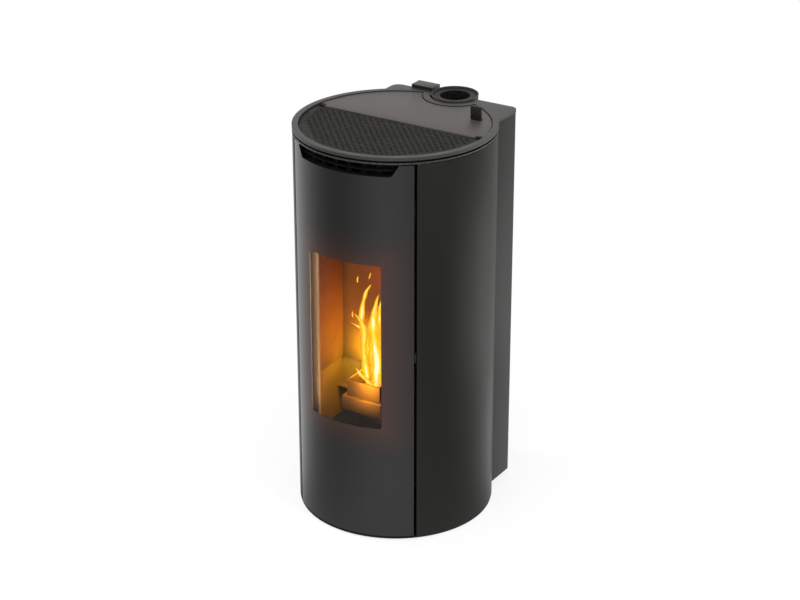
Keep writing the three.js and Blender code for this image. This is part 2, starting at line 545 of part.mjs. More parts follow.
// The door: curved glass with the air slot's notch, a frame behind it, its seal and its hinge.
function buildDoor() {
  const inner = stove.radius - door.glass;
  const sheetZ = [level.baseTop + door.floorGap, level.panelTop];
  const sheet = sector([inner, stove.radius], [-seam.doorAngle, seam.doorAngle], sheetZ);
  const notch = () => {
    const heights = [level.slotLow, level.panelTop + overrun];
    const low = onDrum(stove.radius, slot.lowAngle)[0];
    const high = onDrum(stove.radius, slot.topAngle)[0];
    const outline = [[-low, heights[0]], [low, heights[0]], [high, level.panelTop], [high, heights[1]],
      [-high, heights[1]], [-high, level.panelTop]];
    const shape = new THREE.Shape(outline.map(([x, z]) => new THREE.Vector2(x, z)));
    const geometry = new THREE.ExtrudeGeometry(shape, { depth: stove.radius, bevelEnabled: false });
    return solidOf(geometry.rotateX(Math.PI / 2).translate(0, -overrun * overrun, 0));
  };
  add("door_glass", cut(sheet, notch()), "glass");

  const outer = inner - clearance;
  const edge = seam.doorAngle - door.stileEdge;
  const range = [door.frameLow, level.frameHigh];
  const seatDepth = [radii.stile, outer - door.sheet / 2];
  const paneAngle = pane.halfAngle + angleOf(pane.frameMargin / 2, outer);
  const paneRange = grow([pane.low, level.paneHigh], pane.frameMargin);
  const skin = cut(
    sector([outer - door.sheet, outer], [-edge, edge], range),
    sector([outer - door.sheet - overrun, outer + overrun], [-paneAngle, paneAngle], paneRange),
  );
  const hingeStile = sector(seatDepth, [-edge, -edge + door.stileAngle], [door.frameLow, level.earTop]);
  const latchStile = sector(seatDepth, [edge - door.stileAngle, edge], range);
  const lowRail = sector(seatDepth, [-edge, edge], [door.frameLow, door.frameLow + door.railLow]);
  const highRail = sector(seatDepth, [-edge, edge], [level.frameHigh - door.railHigh, level.frameHigh]);
  const seat = cut(
    sector(seatDepth, [-seal.seatAngle, seal.seatAngle], [firebox.low, level.fireHigh]),
    sector([radii.stile - overrun, outer + overrun], [-seal.seatInnerAngle, seal.seatInnerAngle],
      shrink([firebox.low, level.fireHigh], seal.seatWidth)),
  );
  const pinRange = grow([door.frameLow, level.earTop], overrun);
  const pinHole = post(door.pinRadius + door.running, hingeAxis, pinRange, 16);
  const bossHole = latchRod(latch.boss + clearance, -latch.tabReach, 0);
  const whole = join(skin, hingeStile, latchStile, lowRail, highRail, seat);
  add("door_frame", cut(whole, pinHole, bossHole), "blackSteel");

  const ropeOuter = seal.seatAngle - angleOf(seal.ropeMargin, radii.stile);
  const ropeInner = seal.seatInnerAngle + angleOf(seal.ropeMargin, radii.stile);
  const ropeDepth = [radii.stile - clearance - seal.ropeDepth, radii.stile - clearance];
  add("door_seal", cut(
    sector(ropeDepth, [-ropeOuter, ropeOuter], shrink([firebox.low, level.fireHigh], seal.ropeMargin)),
    sector(grow(ropeDepth, overrun), [-ropeInner, ropeInner],
      shrink([firebox.low, level.fireHigh], seal.seatWidth - seal.ropeMargin)),
  ), "rope");

  const lowPin = [stove.floorGap + stove.skin / 4, door.frameLow + 2 * door.railLow];
  const highPin = [level.frameHigh - 2 * door.railHigh, level.trimTop - stove.skin / 4];
  add("hinge_pin_lower", post(door.pinRadius, hingeAxis, lowPin, 16), "zinc");
  add("hinge_pin_upper", post(door.pinRadius, hingeAxis, highPin, 16), "zinc");
}

// The latch stands in the open seam: a plate across it, seen edge on, with a hook behind a keeper.
const seamMiddle = (seam.doorAngle + seamPanelAngle) / 2;
const seamOut = onDrum(1, seamMiddle);
const seamAlong = [Math.cos(radians(seamMiddle)), Math.sin(radians(seamMiddle))];
const latchPoint = (radius, along, z) => [
  radius * seamOut[0] + along * seamAlong[0],
  radius * seamOut[1] + along * seamAlong[1],
  z,
];

function latchRod(radius, from, to, place = radii.latch, z = latch.height) {
  return bar(radius, latchPoint(place, from, z), latchPoint(place, to, z), 16);
}

/** A block across the seam between two radii and two heights. */
function latchBlock([r0, r1], [along0, along1], heights) {
  const corner = (r, along) => latchPoint(r, along, 0).slice(0, 2);
  return prism([corner(r0, along0), corner(r1, along0), corner(r1, along1), corner(r0, along1)], heights);
}

function buildLatch() {
  const across = around(0, latch.thickness / 2);
  const pivot = radii.latch;
  const z = latch.height;
  const tabReach = [pivot - latch.armHalf, pivot + latch.tabReach];
  const tab = latchBlock(tabReach, across, around(z, latch.tabHeight / 2));
  const armRange = around(z + latch.boss / 2, latch.armHalf - 2 * weld);
  const arm = latchBlock([pivot - latch.armReach, pivot], across, armRange);
  const hook = latchBlock([pivot - latch.armReach, pivot - latch.armReach + latch.hookWidth], across,
    [z - latch.hookDrop, z + latch.boss]);
  const boss = latchRod(latch.boss, -latch.tabReach + 2 * weld, 0);
  add("latch_lever", join(tab, arm, hook, boss), "blackSteel");
  const keeperPlace = pivot - latch.keeperReach;
  const wallAlong = keeperPlace * Math.tan(radians(upright.fromAngle - seamMiddle)) - clearance;
  const keeperZ = z - latch.keeperBelow;
  const pin = latchRod(latch.keeperRadius, -latch.thickness / 2 - weld, wallAlong, keeperPlace, keeperZ);
  add("latch_keeper", pin, "zinc");
}

// The fire: firebox with its linings and baffle, burn pot and holder, ash drawer, igniter.
function fireboxPlan(inset, frontRadius) {
  const x = fireSideX - inset;
  const half = THREE.MathUtils.radToDeg(Math.asin(x / frontRadius));
  return [...arc(frontRadius, -half, half), [x, firebox.rear - inset], [-x, firebox.rear - inset]];
}

function tiltedChute(half, extra) {
  const geometry = new THREE.BoxGeometry(2 * half, 2 * half, chute.length + extra);
  geometry.translate(0, 0, -(chute.length + extra) / 2 + extra / 2);
  geometry.rotateX(radians(chute.tilt - 90));
  return solidOf(geometry.translate(0, chute.topY, chute.topZ));
}

function buildFirebox() {
  const heights = [firebox.low, level.fireHigh];
  const shell = prism(fireboxPlan(0, radii.firebox), heights);
  const hollowPlan = fireboxPlan(firebox.wall, radii.firebox - firebox.frontDepth);
  const hollow = prism(hollowPlan, shrink(heights, firebox.wall));
  const mouth = sector([radii.firebox - 2 * overrun, radii.firebox + overrun],
    [-firebox.openAngle, firebox.openAngle], shrink(heights, firebox.lip));
  const rear = around(firebox.rear, overrun);
  const smokePort = box(shrink(exhaust.x, 2 * exhaust.wall), rear, level.smokePort);
  const igniterHole = bar(igniter.radius + clearance, [igniter.x, rear[0], level.igniter],
    [igniter.x, rear[1], level.igniter], 12);
  const airHole = bar(airInlet.radius - airInlet.wall, [airInlet.frontX, rear[0], level.airInlet],
    [airInlet.frontX, rear[1], level.airInlet], 20);
  const chuteHole = tiltedChute(chute.half + clearance, overrun);
  const floorTop = firebox.low + firebox.wall;
  const legZ = [level.baseTop + clearance, floorTop];
  const legX = [fireSideX - firebox.legInset - firebox.legSide, fireSideX - firebox.legInset];
  const legFront = firebox.legFront - radii.firebox;
  const legY = [[legFront, legFront + firebox.legSide], firebox.rearLegY];
  const legPair = (sign) => legY.map((y) => box(mirrored(legX, sign), y, legZ));
  const legs = [-1, 1].flatMap(legPair);
  const railZ = [floorTop - weld, ashDrawer.low - clearance];
  const railY = [drawerFront + firebox.railFront, ashDrawer.rear + firebox.railRear];
  const rails = [-1, 1].map((sign) => box(mirrored(firebox.railX, sign), railY, railZ));
  const open = cut(shell, hollow, mouth, smokePort, igniterHole, airHole, chuteHole);
  add("firebox", join(open, ...legs, ...rails), "castIron");

  const innerRear = firebox.rear - firebox.wall - clearance;
  const linerRange = [level.linerLow, level.linerHigh];
  const back = box([-fireInnerX, fireInnerX], [innerRear - liner.thickness, innerRear], linerRange);
  const linerPort = box(shrink(exhaust.x, 2 * exhaust.wall), around(innerRear, 2 * liner.thickness),
    level.smokePort);
  add("back_liner", cut(back, linerPort, tiltedChute(chute.half + clearance, overrun)), "vermiculite");
  for (const [sign, name] of [[-1, "left_liner"], [1, "right_liner"]]) {
    const x = mirrored([fireInnerX - liner.thickness, fireInnerX], sign);
    const y = [liner.frontGap - fireFrontAt(fireInnerX), innerRear - liner.thickness - liner.play];
    add(name, box(x, y, linerRange), "vermiculite");
  }
  const baffleX = fireInnerX - liner.thickness - clearance;
  const baffleLow = level.fireHigh - baffle.drop;
  const baffleRange = [baffleLow, baffleLow + baffle.thickness];
  const baffleY = [baffle.frontGap - fireFrontAt(baffleX), baffle.rear];
  add("baffle_plate", box([-baffleX, baffleX], baffleY, baffleRange), "castIron");
}

function buildBurner() {
  const potX = around(0, pot.halfX);
  const potY = around(pot.centreY, pot.halfY);
  const neckX = around(0, pot.neckHalfX);
  const neckY = around(pot.centreY, pot.neckHalfY);
  const rim = level.potSeat + clearance;
  const neck = box(neckX, neckY, [level.potLow, rim + pot.wall]);
  const bowl = join(box(potX, potY, [rim, rim + pot.height]), neck);
  const wide = taper(
    [shrink(neckX, pot.wall), shrink(neckY, pot.wall), level.potLow + pot.wall],
    [shrink(potX, pot.wall), shrink(potY, pot.wall), rim + pot.height],
  );
  const mouth = box(shrink(potX, pot.wall), shrink(potY, pot.wall), around(rim + pot.height, pot.wall / 2));
  const holes = [];
  for (let i = -2; i <= 2; i += 1) {
    for (let j = -1; j <= 1; j += 1) {
      const place = [i * pot.holePitch, pot.centreY + j * pot.holePitch];
      holes.push(post(pot.hole, place, around(level.potLow, 2 * pot.wall), 6));
    }
  }
  add("burn_pot", cut(bowl, wide, mouth, ...holes), "castIron");

  const holderX = around(0, potHolder.halfX);
  const rear = firebox.rear - firebox.wall - clearance;
  const heights = [potHolder.low, level.potSeat];
  const shell = box(holderX, [potHolder.front, rear], heights);
  const hollow = box(shrink(holderX, potHolder.wall), [potHolder.front + potHolder.wall, rear + overrun],
    shrink(heights, potHolder.wall));
  const seat = box(grow(neckX, clearance), grow(neckY, clearance), around(level.potSeat, overrun));
  const wingX = [potHolder.halfX - weld, fireSideX - firebox.wall - clearance];
  const wingY = [rear - 2 * liner.thickness, rear];
  const wingZ = [potHolder.low, potHolder.low + potHolder.wall];
  const wings = [-1, 1].map((sign) => box(mirrored(wingX, sign), wingY, wingZ));
  add("burn_pot_holder", join(cut(shell, hollow, seat), ...wings), "castIron");

  const drawerX = around(0, ashDrawer.halfX);
  const tray = cut(
    box(drawerX, [drawerFront, ashDrawer.rear], [ashDrawer.low, ashDrawer.high]),
    box(shrink(drawerX, ashDrawer.wall), shrink([drawerFront, ashDrawer.rear], ashDrawer.wall),
      [ashDrawer.low + ashDrawer.wall, ashDrawer.high + overrun]),
  );
  const gripZ = (ashDrawer.low + ashDrawer.high) / 2;
  const gripY = [drawerFront - ashDrawer.gripDepth, drawerFront + weld];
  const grip = box(around(0, ashDrawer.gripWidth / 2), gripY, around(gripZ, ashDrawer.gripHeight / 2));
  add("ash_drawer", join(tray, grip), "zinc");

  const at = (y) => [igniter.x, y, level.igniter];
  const rod = bar(igniter.radius, at(igniter.tip), at(igniter.rear), 12);
  const head = bar(igniter.headRadius, at(igniter.rear - weld), at(igniter.rear + igniter.headLength), 12);
  add("igniter", join(rod, head), "zinc");
}

function buildAirInlet() {
  const start = firebox.rear + clearance;
  const end = housingRear + airInlet.spigot;
  const straight = airInlet.straight;
  const path = new THREE.CatmullRomCurve3([
    [airInlet.frontX, start - overrun],
    [airInlet.frontX, start + straight / 2],
    [airInlet.rearX, end - 2 * straight],
    [airInlet.rearX, end - straight],
    [airInlet.rearX, end + overrun],
  ].map(([x, y]) => new THREE.Vector3(x, y, level.airInlet)));
  const tube = (radius) => {
    const shape = new THREE.Shape(Array.from({ length: 14 }, (_, i) => (Math.PI * i) / 7)
      .map((turn) => new THREE.Vector2(radius * Math.cos(turn), radius * Math.sin(turn))));
    return solidOf(new THREE.ExtrudeGeometry(shape, { steps: 10, extrudePath: path, bevelEnabled: false }));
  };
  const y = [start, end];
  const trim = box(around(0, stove.radius), y, around(level.airInlet, 2 * airInlet.radius));
  const bore = tube(airInlet.radius - airInlet.wall);
  add("air_inlet_pipe", cut(common(tube(airInlet.radius), trim), bore), "zinc");
}

// Fuel: the hopper under the lid, the tilted auger and the chute that drops pellets in the pot.
function buildHopper() {
  const bin = (inset, lowCut, highCut) => {
    const wideX = shrink(around(0, hopper.halfX), inset);
    const wideY = shrink([hopper.front, hopperRear], inset);
    const neckX = shrink(around(0, hopper.neckHalfX), inset);
    const neckY = shrink([hopper.neckFront, hopper.neckRear], inset);
    const bend = level.hopperTop - hopper.straight;
    const funnel = taper([neckX, neckY, hopper.low], [wideX, wideY, bend]);
    const straight = box(wideX, wideY, [bend - weld / 8, level.hopperTop + highCut]);
    const whole = join(funnel, straight);
    return lowCut ? join(whole, box(neckX, neckY, around(hopper.low, overrun))) : whole;
  };
  const rimX = grow(around(0, hopper.halfX), hopper.rimWidth);
  const rimY = [hopper.front - hopper.rimWidth, hopperRear + hopper.rimWidth / 2];
  const rim = box(rimX, rimY, [level.hopperTop - hopper.rim, level.trimLow - clearance]);
  add("pellet_hopper", cut(join(bin(0, false, 0), rim), bin(hopper.wall, true, overrun)), "zinc");
}

function augerGroup() {
  const group = new THREE.Group();
  group.position.set(0, auger.rootY, auger.rootZ);
  group.rotation.x = radians(auger.tilt);
  drum.add(group);
  return group;
}

/** The auger's tube axis as a bar in the stove's own frame, for what is cut by it. */
function augerBar(radius, from, to) {
  const at = (s) => [
    0,
    auger.rootY - s * Math.sin(radians(auger.tilt)),
    auger.rootZ + s * Math.cos(radians(auger.tilt)),
  ];
  return bar(radius, at(from), at(to), 24);
}

/** A helical blade round +Z. */
function flightSolid() {
  const stepsPerTurn = 12;
  const length = auger.flightEnd - auger.flightStart;
  const steps = Math.round((length / auger.pitch) * stepsPerTurn);
  const inner = auger.shaftRadius / 2;
  const outer = auger.flightRadius;
  const section = [[inner, 0], [outer, 0], [outer, auger.flight], [inner, auger.flight]];
  const points = [];
  for (let i = 0; i <= steps; i += 1) {
    const turn = (2 * Math.PI * i) / stepsPerTurn;
    const z = auger.flightStart + (length * i) / steps;
    for (const [r, rise] of section) points.push(r * Math.cos(turn), r * Math.sin(turn), z + rise);
  }
  const index = [0, 1, 2, 0, 2, 3];
  for (let i = 0; i < steps; i += 1) {
    for (let side = 0; side < 4; side += 1) {
      const a = 4 * i + side;
      const b = 4 * i + ((side + 1) % 4);
      index.push(a, a + 4, b + 4, a, b + 4, b);
    }
  }
  const last = 4 * steps;
  index.push(last, last + 2, last + 1, last, last + 3, last + 2);
  const geometry = new THREE.BufferGeometry();
  geometry.setAttribute("position", new THREE.Float32BufferAttribute(points, 3));
  geometry.setIndex(index);
  return solidOf(geometry);
}

function buildAuger() {
  const inletX = around(0, auger.inletHalfX);
  const inletY = grow([hopper.neckFront, hopper.neckRear], stove.skin);
  const inletZ = [auger.inletLow, hopper.low - clearance];
  const inner = auger.tubeRadius - auger.tubeWall;
  const body = join(augerBar(auger.tubeRadius, 0, auger.length), box(inletX, inletY, inletZ));
  const drop = common(
    box(around(0, chute.half - chute.wall), [-auger.length, auger.rootY], [0, chute.topZ]),
    augerBar(auger.tubeRadius + overrun, auger.outletStart, auger.length - auger.tubeWall),
  );
  const throatZ = [inletZ[0] + stove.skin, hopper.low + overrun];
  const throat = box(shrink(inletX, stove.skin), shrink(inletY, stove.skin), throatZ);
  const tube = cut(
    body,
    augerBar(inner, -overrun, auger.length - auger.tubeWall),
    throat,
    drop,
  );
  add("auger_tube", tube, "zinc");

  const group = augerGroup();
  const shaftRange = [-auger.gearboxLength / 2, auger.length - 2 * auger.tubeWall];
  const shaft = post(auger.shaftRadius, [0, 0], shaftRange, 12);
  add("auger_screw", join(shaft, flightSolid()), "castIron", group);
  const gearRange = [-clearance - auger.gearboxLength, -clearance];
  const gearbox = box(around(0, auger.gearboxSide / 2), around(0, auger.gearboxSide / 2), gearRange);
  const motorRange = [gearRange[0] - auger.motorLength, gearRange[0] + weld];
  const motor = post(auger.motorRadius, [0, 0], motorRange, 24);
  const bore = post(auger.bore, [0, 0], [-auger.gearboxLength / 2 - weld, overrun], 12);
  add("auger_motor", cut(join(gearbox, motor), bore), "blackSteel", group);

  const channelBox = cut(tiltedChute(chute.half, 0), tiltedChute(chute.half - chute.wall, 2 * overrun));
  const clearTube = augerBar(auger.tubeRadius + clearance, -overrun, auger.length + clearance);
  const belowZ = [0, chute.topZ + auger.tubeRadius];
  const below = box(around(0, stove.radius), [-stove.radius, auger.rootY], belowZ);
  add("feed_chute", cut(common(channelBox, below), clearTube), "zinc");
}

// Smoke and air: the duct down to the smoke fan, the fan itself, and the room fan under the fire.
function buildSmokeFan() {
  const ductZ = [exhaust.low, level.exhaustHigh];
  const ductInnerX = shrink(exhaust.x, exhaust.wall);
  const ductInnerY = shrink(exhaust.y, exhaust.wall);
  const port = box(shrink(exhaust.x, 2 * exhaust.wall), around(exhaust.y[0], overrun), level.smokePort);
  add("exhaust_duct", cut(box(exhaust.x, exhaust.y, ductZ),
    box(ductInnerX, ductInnerY, [exhaust.low - overrun, level.exhaustHigh - exhaust.wall]), port), "zinc");

  const centre = [smokeFan.x, smokeFan.y];
  const heights = [smokeFan.low, smokeFan.high];
  const insideZ = shrink(heights, smokeFan.wall);
  const spoutY = [smokeFan.y, baseFront - clearance];
  const round = post(smokeFan.radius, centre, heights, 32);
  const spout = box(smokeFan.spoutX, spoutY, heights);
  const legZ = [level.baseTop + clearance, smokeFan.low + weld];
  const legReach = smokeFan.radius - smokeFan.leg - smokeFan.legInset;
  const legAt = (sign) => [smokeFan.x + sign * legReach, smokeFan.y];
  const legs = [-1, 1].map((sign) => post(smokeFan.leg, legAt(sign), legZ, 8));
  const hollow = post(smokeFan.radius - smokeFan.wall, centre, insideZ, 32);
  const spoutHollowY = [smokeFan.y, spoutY[1] + overrun];
  const spoutHollow = box(shrink(smokeFan.spoutX, smokeFan.wall), spoutHollowY, insideZ);
  const eye = post(smokeFan.inlet, [smokeFan.x, smokeFan.y], around(smokeFan.high, overrun), 24);
  const shaftHole = post(smokeFan.bore, centre, around(smokeFan.low, overrun), 12);
  add("smoke_fan_housing", cut(join(round, spout, ...legs), hollow, spoutHollow, eye, shaftHole), "zinc");

  const discLow = smokeFan.low + smokeFan.discRise;
  const discTop = discLow + smokeFan.disc;
  let wheel = join(
    post(smokeFan.bladeRadius, centre, [discLow, discTop], 32),
    post(smokeFan.hub, centre, [discLow, discTop + smokeFan.bladeHeight / 2], 16),
    post(smokeFan.shaft, centre, [smokeFan.low - smokeFan.shaftDepth, discLow + weld], 12),
  );
  const bladeLength = smokeFan.bladeRadius - smokeFan.hub;
  const bladeMiddle = (smokeFan.bladeRadius + smokeFan.hub) / 2 - weld;
  for (let i = 0; i < smokeFan.blades; i += 1) {
    const blade = new THREE.BoxGeometry(bladeLength, smokeFan.blade, smokeFan.bladeHeight + weld);
    blade.translate(bladeMiddle, 0, discTop + (smokeFan.bladeHeight - weld) / 2);
    blade.rotateZ((2 * Math.PI * i) / smokeFan.blades);
    wheel = wheel.add(solidOf(blade.translate(...centre, 0)));
  }
  add("smoke_fan_impeller", wheel, "zinc");
  const motorTop = smokeFan.low - clearance;
  add("smoke_fan_motor", cut(
    post(smokeFan.motorRadius, centre, [motorTop - smokeFan.motorLength, motorTop], 28),
    post(smokeFan.bore, centre, [motorTop - smokeFan.shaftDepth - weld, motorTop + overrun], 12),
  ), "blackSteel");
}

function buildRoomFan() {
  const x = roomFan.x;
  const axis = (value) => [value, roomFanY, roomFan.height];
  const outerX = grow(x, roomFan.gap + roomFan.wall);
  const y = around(roomFanY, roomFan.halfDepth);
  const z = [level.baseTop + clearance, roomFan.roof];
  const shell = box(outerX, y, z);
  const hollow = box(shrink(outerX, roomFan.wall), shrink(y, roomFan.wall), shrink(z, roomFan.wall));
  const innerX = shrink(outerX, roomFan.wall);
  const outletY = [y[0] + roomFan.wall, y[0] + roomFan.wall + roomFan.outletDepth];
  const outlet = box(innerX, outletY, around(roomFan.roof, overrun));
  const intake = box(innerX, around(y[1], overrun), around(roomFan.height, roomFan.drum / 2));
  const shaftHole = bar(roomFan.bore, axis(outerX[0] - overrun), axis(outerX[0] + overrun), 12);
  const bearingHole = bar(roomFan.bore, axis(outerX[1] - overrun), axis(outerX[1] + overrun), 12);
  add("room_fan_housing", cut(shell, hollow, outlet, intake, shaftHole, bearingHole), "zinc");

  let wheel = join(
    bar(roomFan.drum, axis(x[0]), axis(x[0] + roomFan.disc), 28),
    bar(roomFan.drum, axis(x[1] - roomFan.disc), axis(x[1]), 28),
    bar(roomFan.shaft, axis(outerX[0] - roomFan.motorLength / 3), axis(outerX[1]), 12),
  );
  const bladeLength = x[1] - x[0] - weld;
  for (let i = 0; i < roomFan.blades; i += 1) {
    const blade = new THREE.BoxGeometry(bladeLength, roomFan.bladeDepth, roomFan.blade);
    blade.translate(0, roomFan.drum - roomFan.bladeDepth / 2 - weld, 0);
    blade.rotateX((2 * Math.PI * i) / roomFan.blades);
    wheel = wheel.add(solidOf(blade.translate((x[0] + x[1]) / 2, roomFanY, roomFan.height)));
  }
  add("room_fan_impeller", wheel, "blackSteel");
  const motorEnd = outerX[0] - clearance;
  const motor = bar(roomFan.motorRadius, axis(motorEnd - roomFan.motorLength), axis(motorEnd), 24);
  const bore = bar(roomFan.bore, axis(motorEnd - roomFan.motorLength / 2), axis(motorEnd + overrun), 12);
  add("room_fan_motor", cut(motor, bore), "blackSteel");
}

function buildLouvre() {
  const r = [radii.louvre, radii.louvre + slot.wall];
  const edge = slot.topAngle + angleOf(slot.louvreDepth, radii.louvre);
  const low = level.slotLow - 2 * slot.wall;
  const high = level.trimLow - clearance;
  const depth = [radii.louvre, radii.louvre + slot.louvreDepth];
  const back = sector(r, [-edge, edge], [low, high]);
  const floor = sector(depth, [-edge, edge], [low, low + slot.wall]);
  const middle = (low + high) / 2;
  const vane = sector(depth, [-edge, edge], around(middle, slot.vane / 2));
  const endAngles = [edge - angleOf(slot.wall, depth[1]), edge];
  const ends = [-1, 1].map((sign) => sector(depth, mirrored(endAngles, sign), [low, high]));
  const openings = [];
  const openStep = edge / 4;
  for (let i = -3; i <= 3; i += 1) {
    const angles = around(i * openStep, openStep / 3);
    openings.push(sector(grow(r, slot.wall / 2), angles, [low + 2 * slot.wall, middle - slot.vane]));
    openings.push(sector(grow(r, slot.wall / 2), angles, [middle + slot.vane, high - slot.wall]));
  }
  add("air_outlet_louvre", cut(join(back, floor, vane, ...ends), ...openings), "blackSteel");
}

function buildElectrics() {
  const rearFace = housingRear - stove.skin - clearance;
  const y = [rearFace - board.standoff - board.thickness, rearFace - board.standoff];
  const posts = [0, 1].flatMap((i) => [0, 1].map((j) => {
    const place = [shrink(board.x, board.standoffInset)[i], 0, shrink(board.z, board.standoffInset)[j]];
    return bar(board.standoff / 2, [place[0], y[1] - weld, place[2]], [place[0], rearFace, place[2]], 8);
  }));
  const middleX = (board.x[0] + board.x[1]) / 2;
  const middleZ = (board.z[0] + board.z[1]) / 2;
  const parts = [-1, 0, 1].map((i) => box(around(middleX + (i * board.part) / 2, board.part / 3),
    [y[0] - board.partHeight, y[0] + weld], around(middleZ + 2 * i * board.part, board.part / 2)));
  add("control_board", join(box(board.x, y, board.z), ...posts, ...parts), "circuit");

  const outside = [housingRear + clearance, housingRear + clearance + inlet.flange];
  const bodyX = shrink(inlet.x, inlet.inset);
  const bodyZ = shrink(inlet.z, inlet.inset);
  const flange = box(inlet.x, outside, inlet.z);
  const body = box(bodyX, [outside[0] - inlet.depth, outside[1]], bodyZ);
  const socketZ = [0, inlet.socketHeight].map((z) => bodyZ[0] + inlet.socketMargin + z);
  const pocketY = [outside[1] - inlet.socketDepth, outside[1] + overrun];
  const socket = box(shrink(bodyX, inlet.socketMargin), pocketY, socketZ);
  const rockerX = shrink(bodyX, inlet.rockerMargin);
  const rockerZ = [bodyZ[1] - inlet.rockerMargin - inlet.rockerHeight, bodyZ[1] - inlet.rockerMargin];
  const pocket = box(grow(rockerX, inlet.rockerGap), pocketY, grow(rockerZ, inlet.rockerGap));
  const pivotZ = (rockerZ[0] + rockerZ[1]) / 2;
  const pivotY = outside[0];
  const pinX = grow(rockerX, inlet.pinLength);
  const onPivot = (x) => [x, pivotY, pivotZ];
  const pinHole = bar(inlet.pivot + clearance, onPivot(pinX[0] - weld), onPivot(pinX[1] + weld), 12);
  add("power_inlet", cut(join(flange, body), socket, pocket, pinHole), "plastic");
  const half = inlet.rockerHeight / 2 - inlet.rockerGap;
  const face = (sign) => [pivotY + half * Math.tan(radians(inlet.rockerTilt)) + weld, sign * half];
  const side = new THREE.Shape([
    new THREE.Vector2(pivotY - half, 0), new THREE.Vector2(pivotY - half / 2, -half / 2),
    new THREE.Vector2(face(-1)[0], -half), new THREE.Vector2(pivotY + inlet.pivot, 0),
    new THREE.Vector2(face(1)[0], half), new THREE.Vector2(pivotY - half / 2, half / 2),
  ]);
  const rocker = new THREE.ExtrudeGeometry(side, { depth: rockerX[1] - rockerX[0], bevelEnabled: false });
  const sideways = new THREE.Matrix4().set(0, 0, 1, rockerX[0], 1, 0, 0, 0, 0, 1, 0, pivotZ, 0, 0, 0, 1);
  rocker.applyMatrix4(sideways);
  const axle = bar(inlet.pivot, onPivot(pinX[0]), onPivot(pinX[1]), 12);
  const switchGroup = new THREE.Group();
  drum.add(switchGroup);
  const turn = new THREE.Matrix4().makeRotationX(radians(-inlet.rockerTilt));
  const place = new THREE.Matrix4().makeTranslation(0, pivotY, pivotZ);
  const back = new THREE.Matrix4().makeTranslation(0, -pivotY, -pivotZ);
  const mesh = add("power_switch", join(solidOf(rocker), axle), "plastic", switchGroup);
  mesh.geometry.applyMatrix4(place.multiply(turn).multiply(back));
}

buildBase();
buildSidePanel(-1, "left_side_panel");
buildSidePanel(1, "right_side_panel");
buildUpright(-1, "left_upright");
buildUpright(1, "right_upright");
buildHousing();
buildTopPlate();
buildTopFrame();
buildGrille();
buildLid();
buildFlue();
buildReceiver();
buildDoor();
buildLatch();
buildFirebox();
buildBurner();
buildAirInlet();
buildHopper();
buildAuger();
buildSmokeFan();
buildRoomFan();
buildLouvre();
buildElectrics();

// The clamps reach furthest back and the rim furthest forward.
const rearmost = flueCentre[1] + flue.shroudRadius + clearance + clamp.thickness;
const foremost = -(stove.radius + top.overhang);
drum.position.y = -(rearmost + foremost) / 2;

const pelletStove = new THREE.Group();
pelletStove.add(drum);
export default pelletStove;
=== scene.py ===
"""Pellet stove, dressed for the render: paint, glass, ironwork, the fire, and the studio round it."""

import logging
import math
import random
from collections.abc import Callable, Iterable, Iterator
from contextlib import contextmanager
from dataclasses import dataclass
from enum import Enum
from functools import cache

import bpy
from mathutils import Euler, Matrix, Vector


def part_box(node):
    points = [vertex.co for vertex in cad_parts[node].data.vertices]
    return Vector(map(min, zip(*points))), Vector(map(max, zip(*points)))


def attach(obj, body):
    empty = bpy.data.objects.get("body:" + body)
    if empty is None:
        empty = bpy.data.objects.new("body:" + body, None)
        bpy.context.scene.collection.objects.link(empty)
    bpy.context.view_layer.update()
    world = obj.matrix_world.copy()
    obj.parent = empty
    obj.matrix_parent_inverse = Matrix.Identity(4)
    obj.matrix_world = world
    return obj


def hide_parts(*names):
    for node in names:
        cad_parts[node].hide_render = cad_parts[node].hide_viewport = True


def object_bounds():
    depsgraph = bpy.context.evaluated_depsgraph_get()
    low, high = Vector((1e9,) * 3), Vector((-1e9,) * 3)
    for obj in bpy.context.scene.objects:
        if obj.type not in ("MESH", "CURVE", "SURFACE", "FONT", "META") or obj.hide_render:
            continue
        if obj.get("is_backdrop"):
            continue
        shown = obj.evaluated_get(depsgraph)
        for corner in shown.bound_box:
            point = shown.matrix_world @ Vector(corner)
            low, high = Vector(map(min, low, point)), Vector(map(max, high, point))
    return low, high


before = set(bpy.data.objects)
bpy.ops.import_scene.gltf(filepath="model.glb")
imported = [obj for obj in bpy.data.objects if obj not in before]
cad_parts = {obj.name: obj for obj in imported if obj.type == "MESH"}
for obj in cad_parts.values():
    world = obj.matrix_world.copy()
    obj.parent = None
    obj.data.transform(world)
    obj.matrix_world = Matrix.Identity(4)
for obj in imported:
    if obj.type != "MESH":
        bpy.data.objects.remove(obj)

log = logging.getLogger("pellet_stove")
Object = bpy.types.Object
Node = bpy.types.Node
Socket = bpy.types.NodeSocket
Tree = bpy.types.NodeTree
Point = tuple[float, float, float]
Span = tuple[float, float]
Test = Callable[[Vector, Vector], bool]
MM = 0.001
ALONG = 0.9
FAR = 300 * MM
CLEAR = 10 * MM
ABOVE = (1.0, 1.1)
WHITE = (1.0, 1.0, 1.0)


def middle_of(node: str) -> Point:
    """Returns the middle of a solid's box."""
    return tuple((low + high) / 2 for low, high in zip(*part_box(node)))


AXIS = (*middle_of("base_plate")[:2], 0.0)


def at(x: float, y: float, z: float) -> Point:
    """Returns a place given in millimetres from the drum's axis and the floor."""
    return (x * MM, AXIS[1] + y * MM, z * MM)


# Modelling by hand: primitives, spins, cuts and bevels.


def deselect() -> None:
    """Leaves object mode with nothing selected."""
    if bpy.context.object and bpy.context.object.mode != "OBJECT":
        bpy.ops.object.mode_set(mode="OBJECT")
    bpy.ops.object.select_all(action="DESELECT")


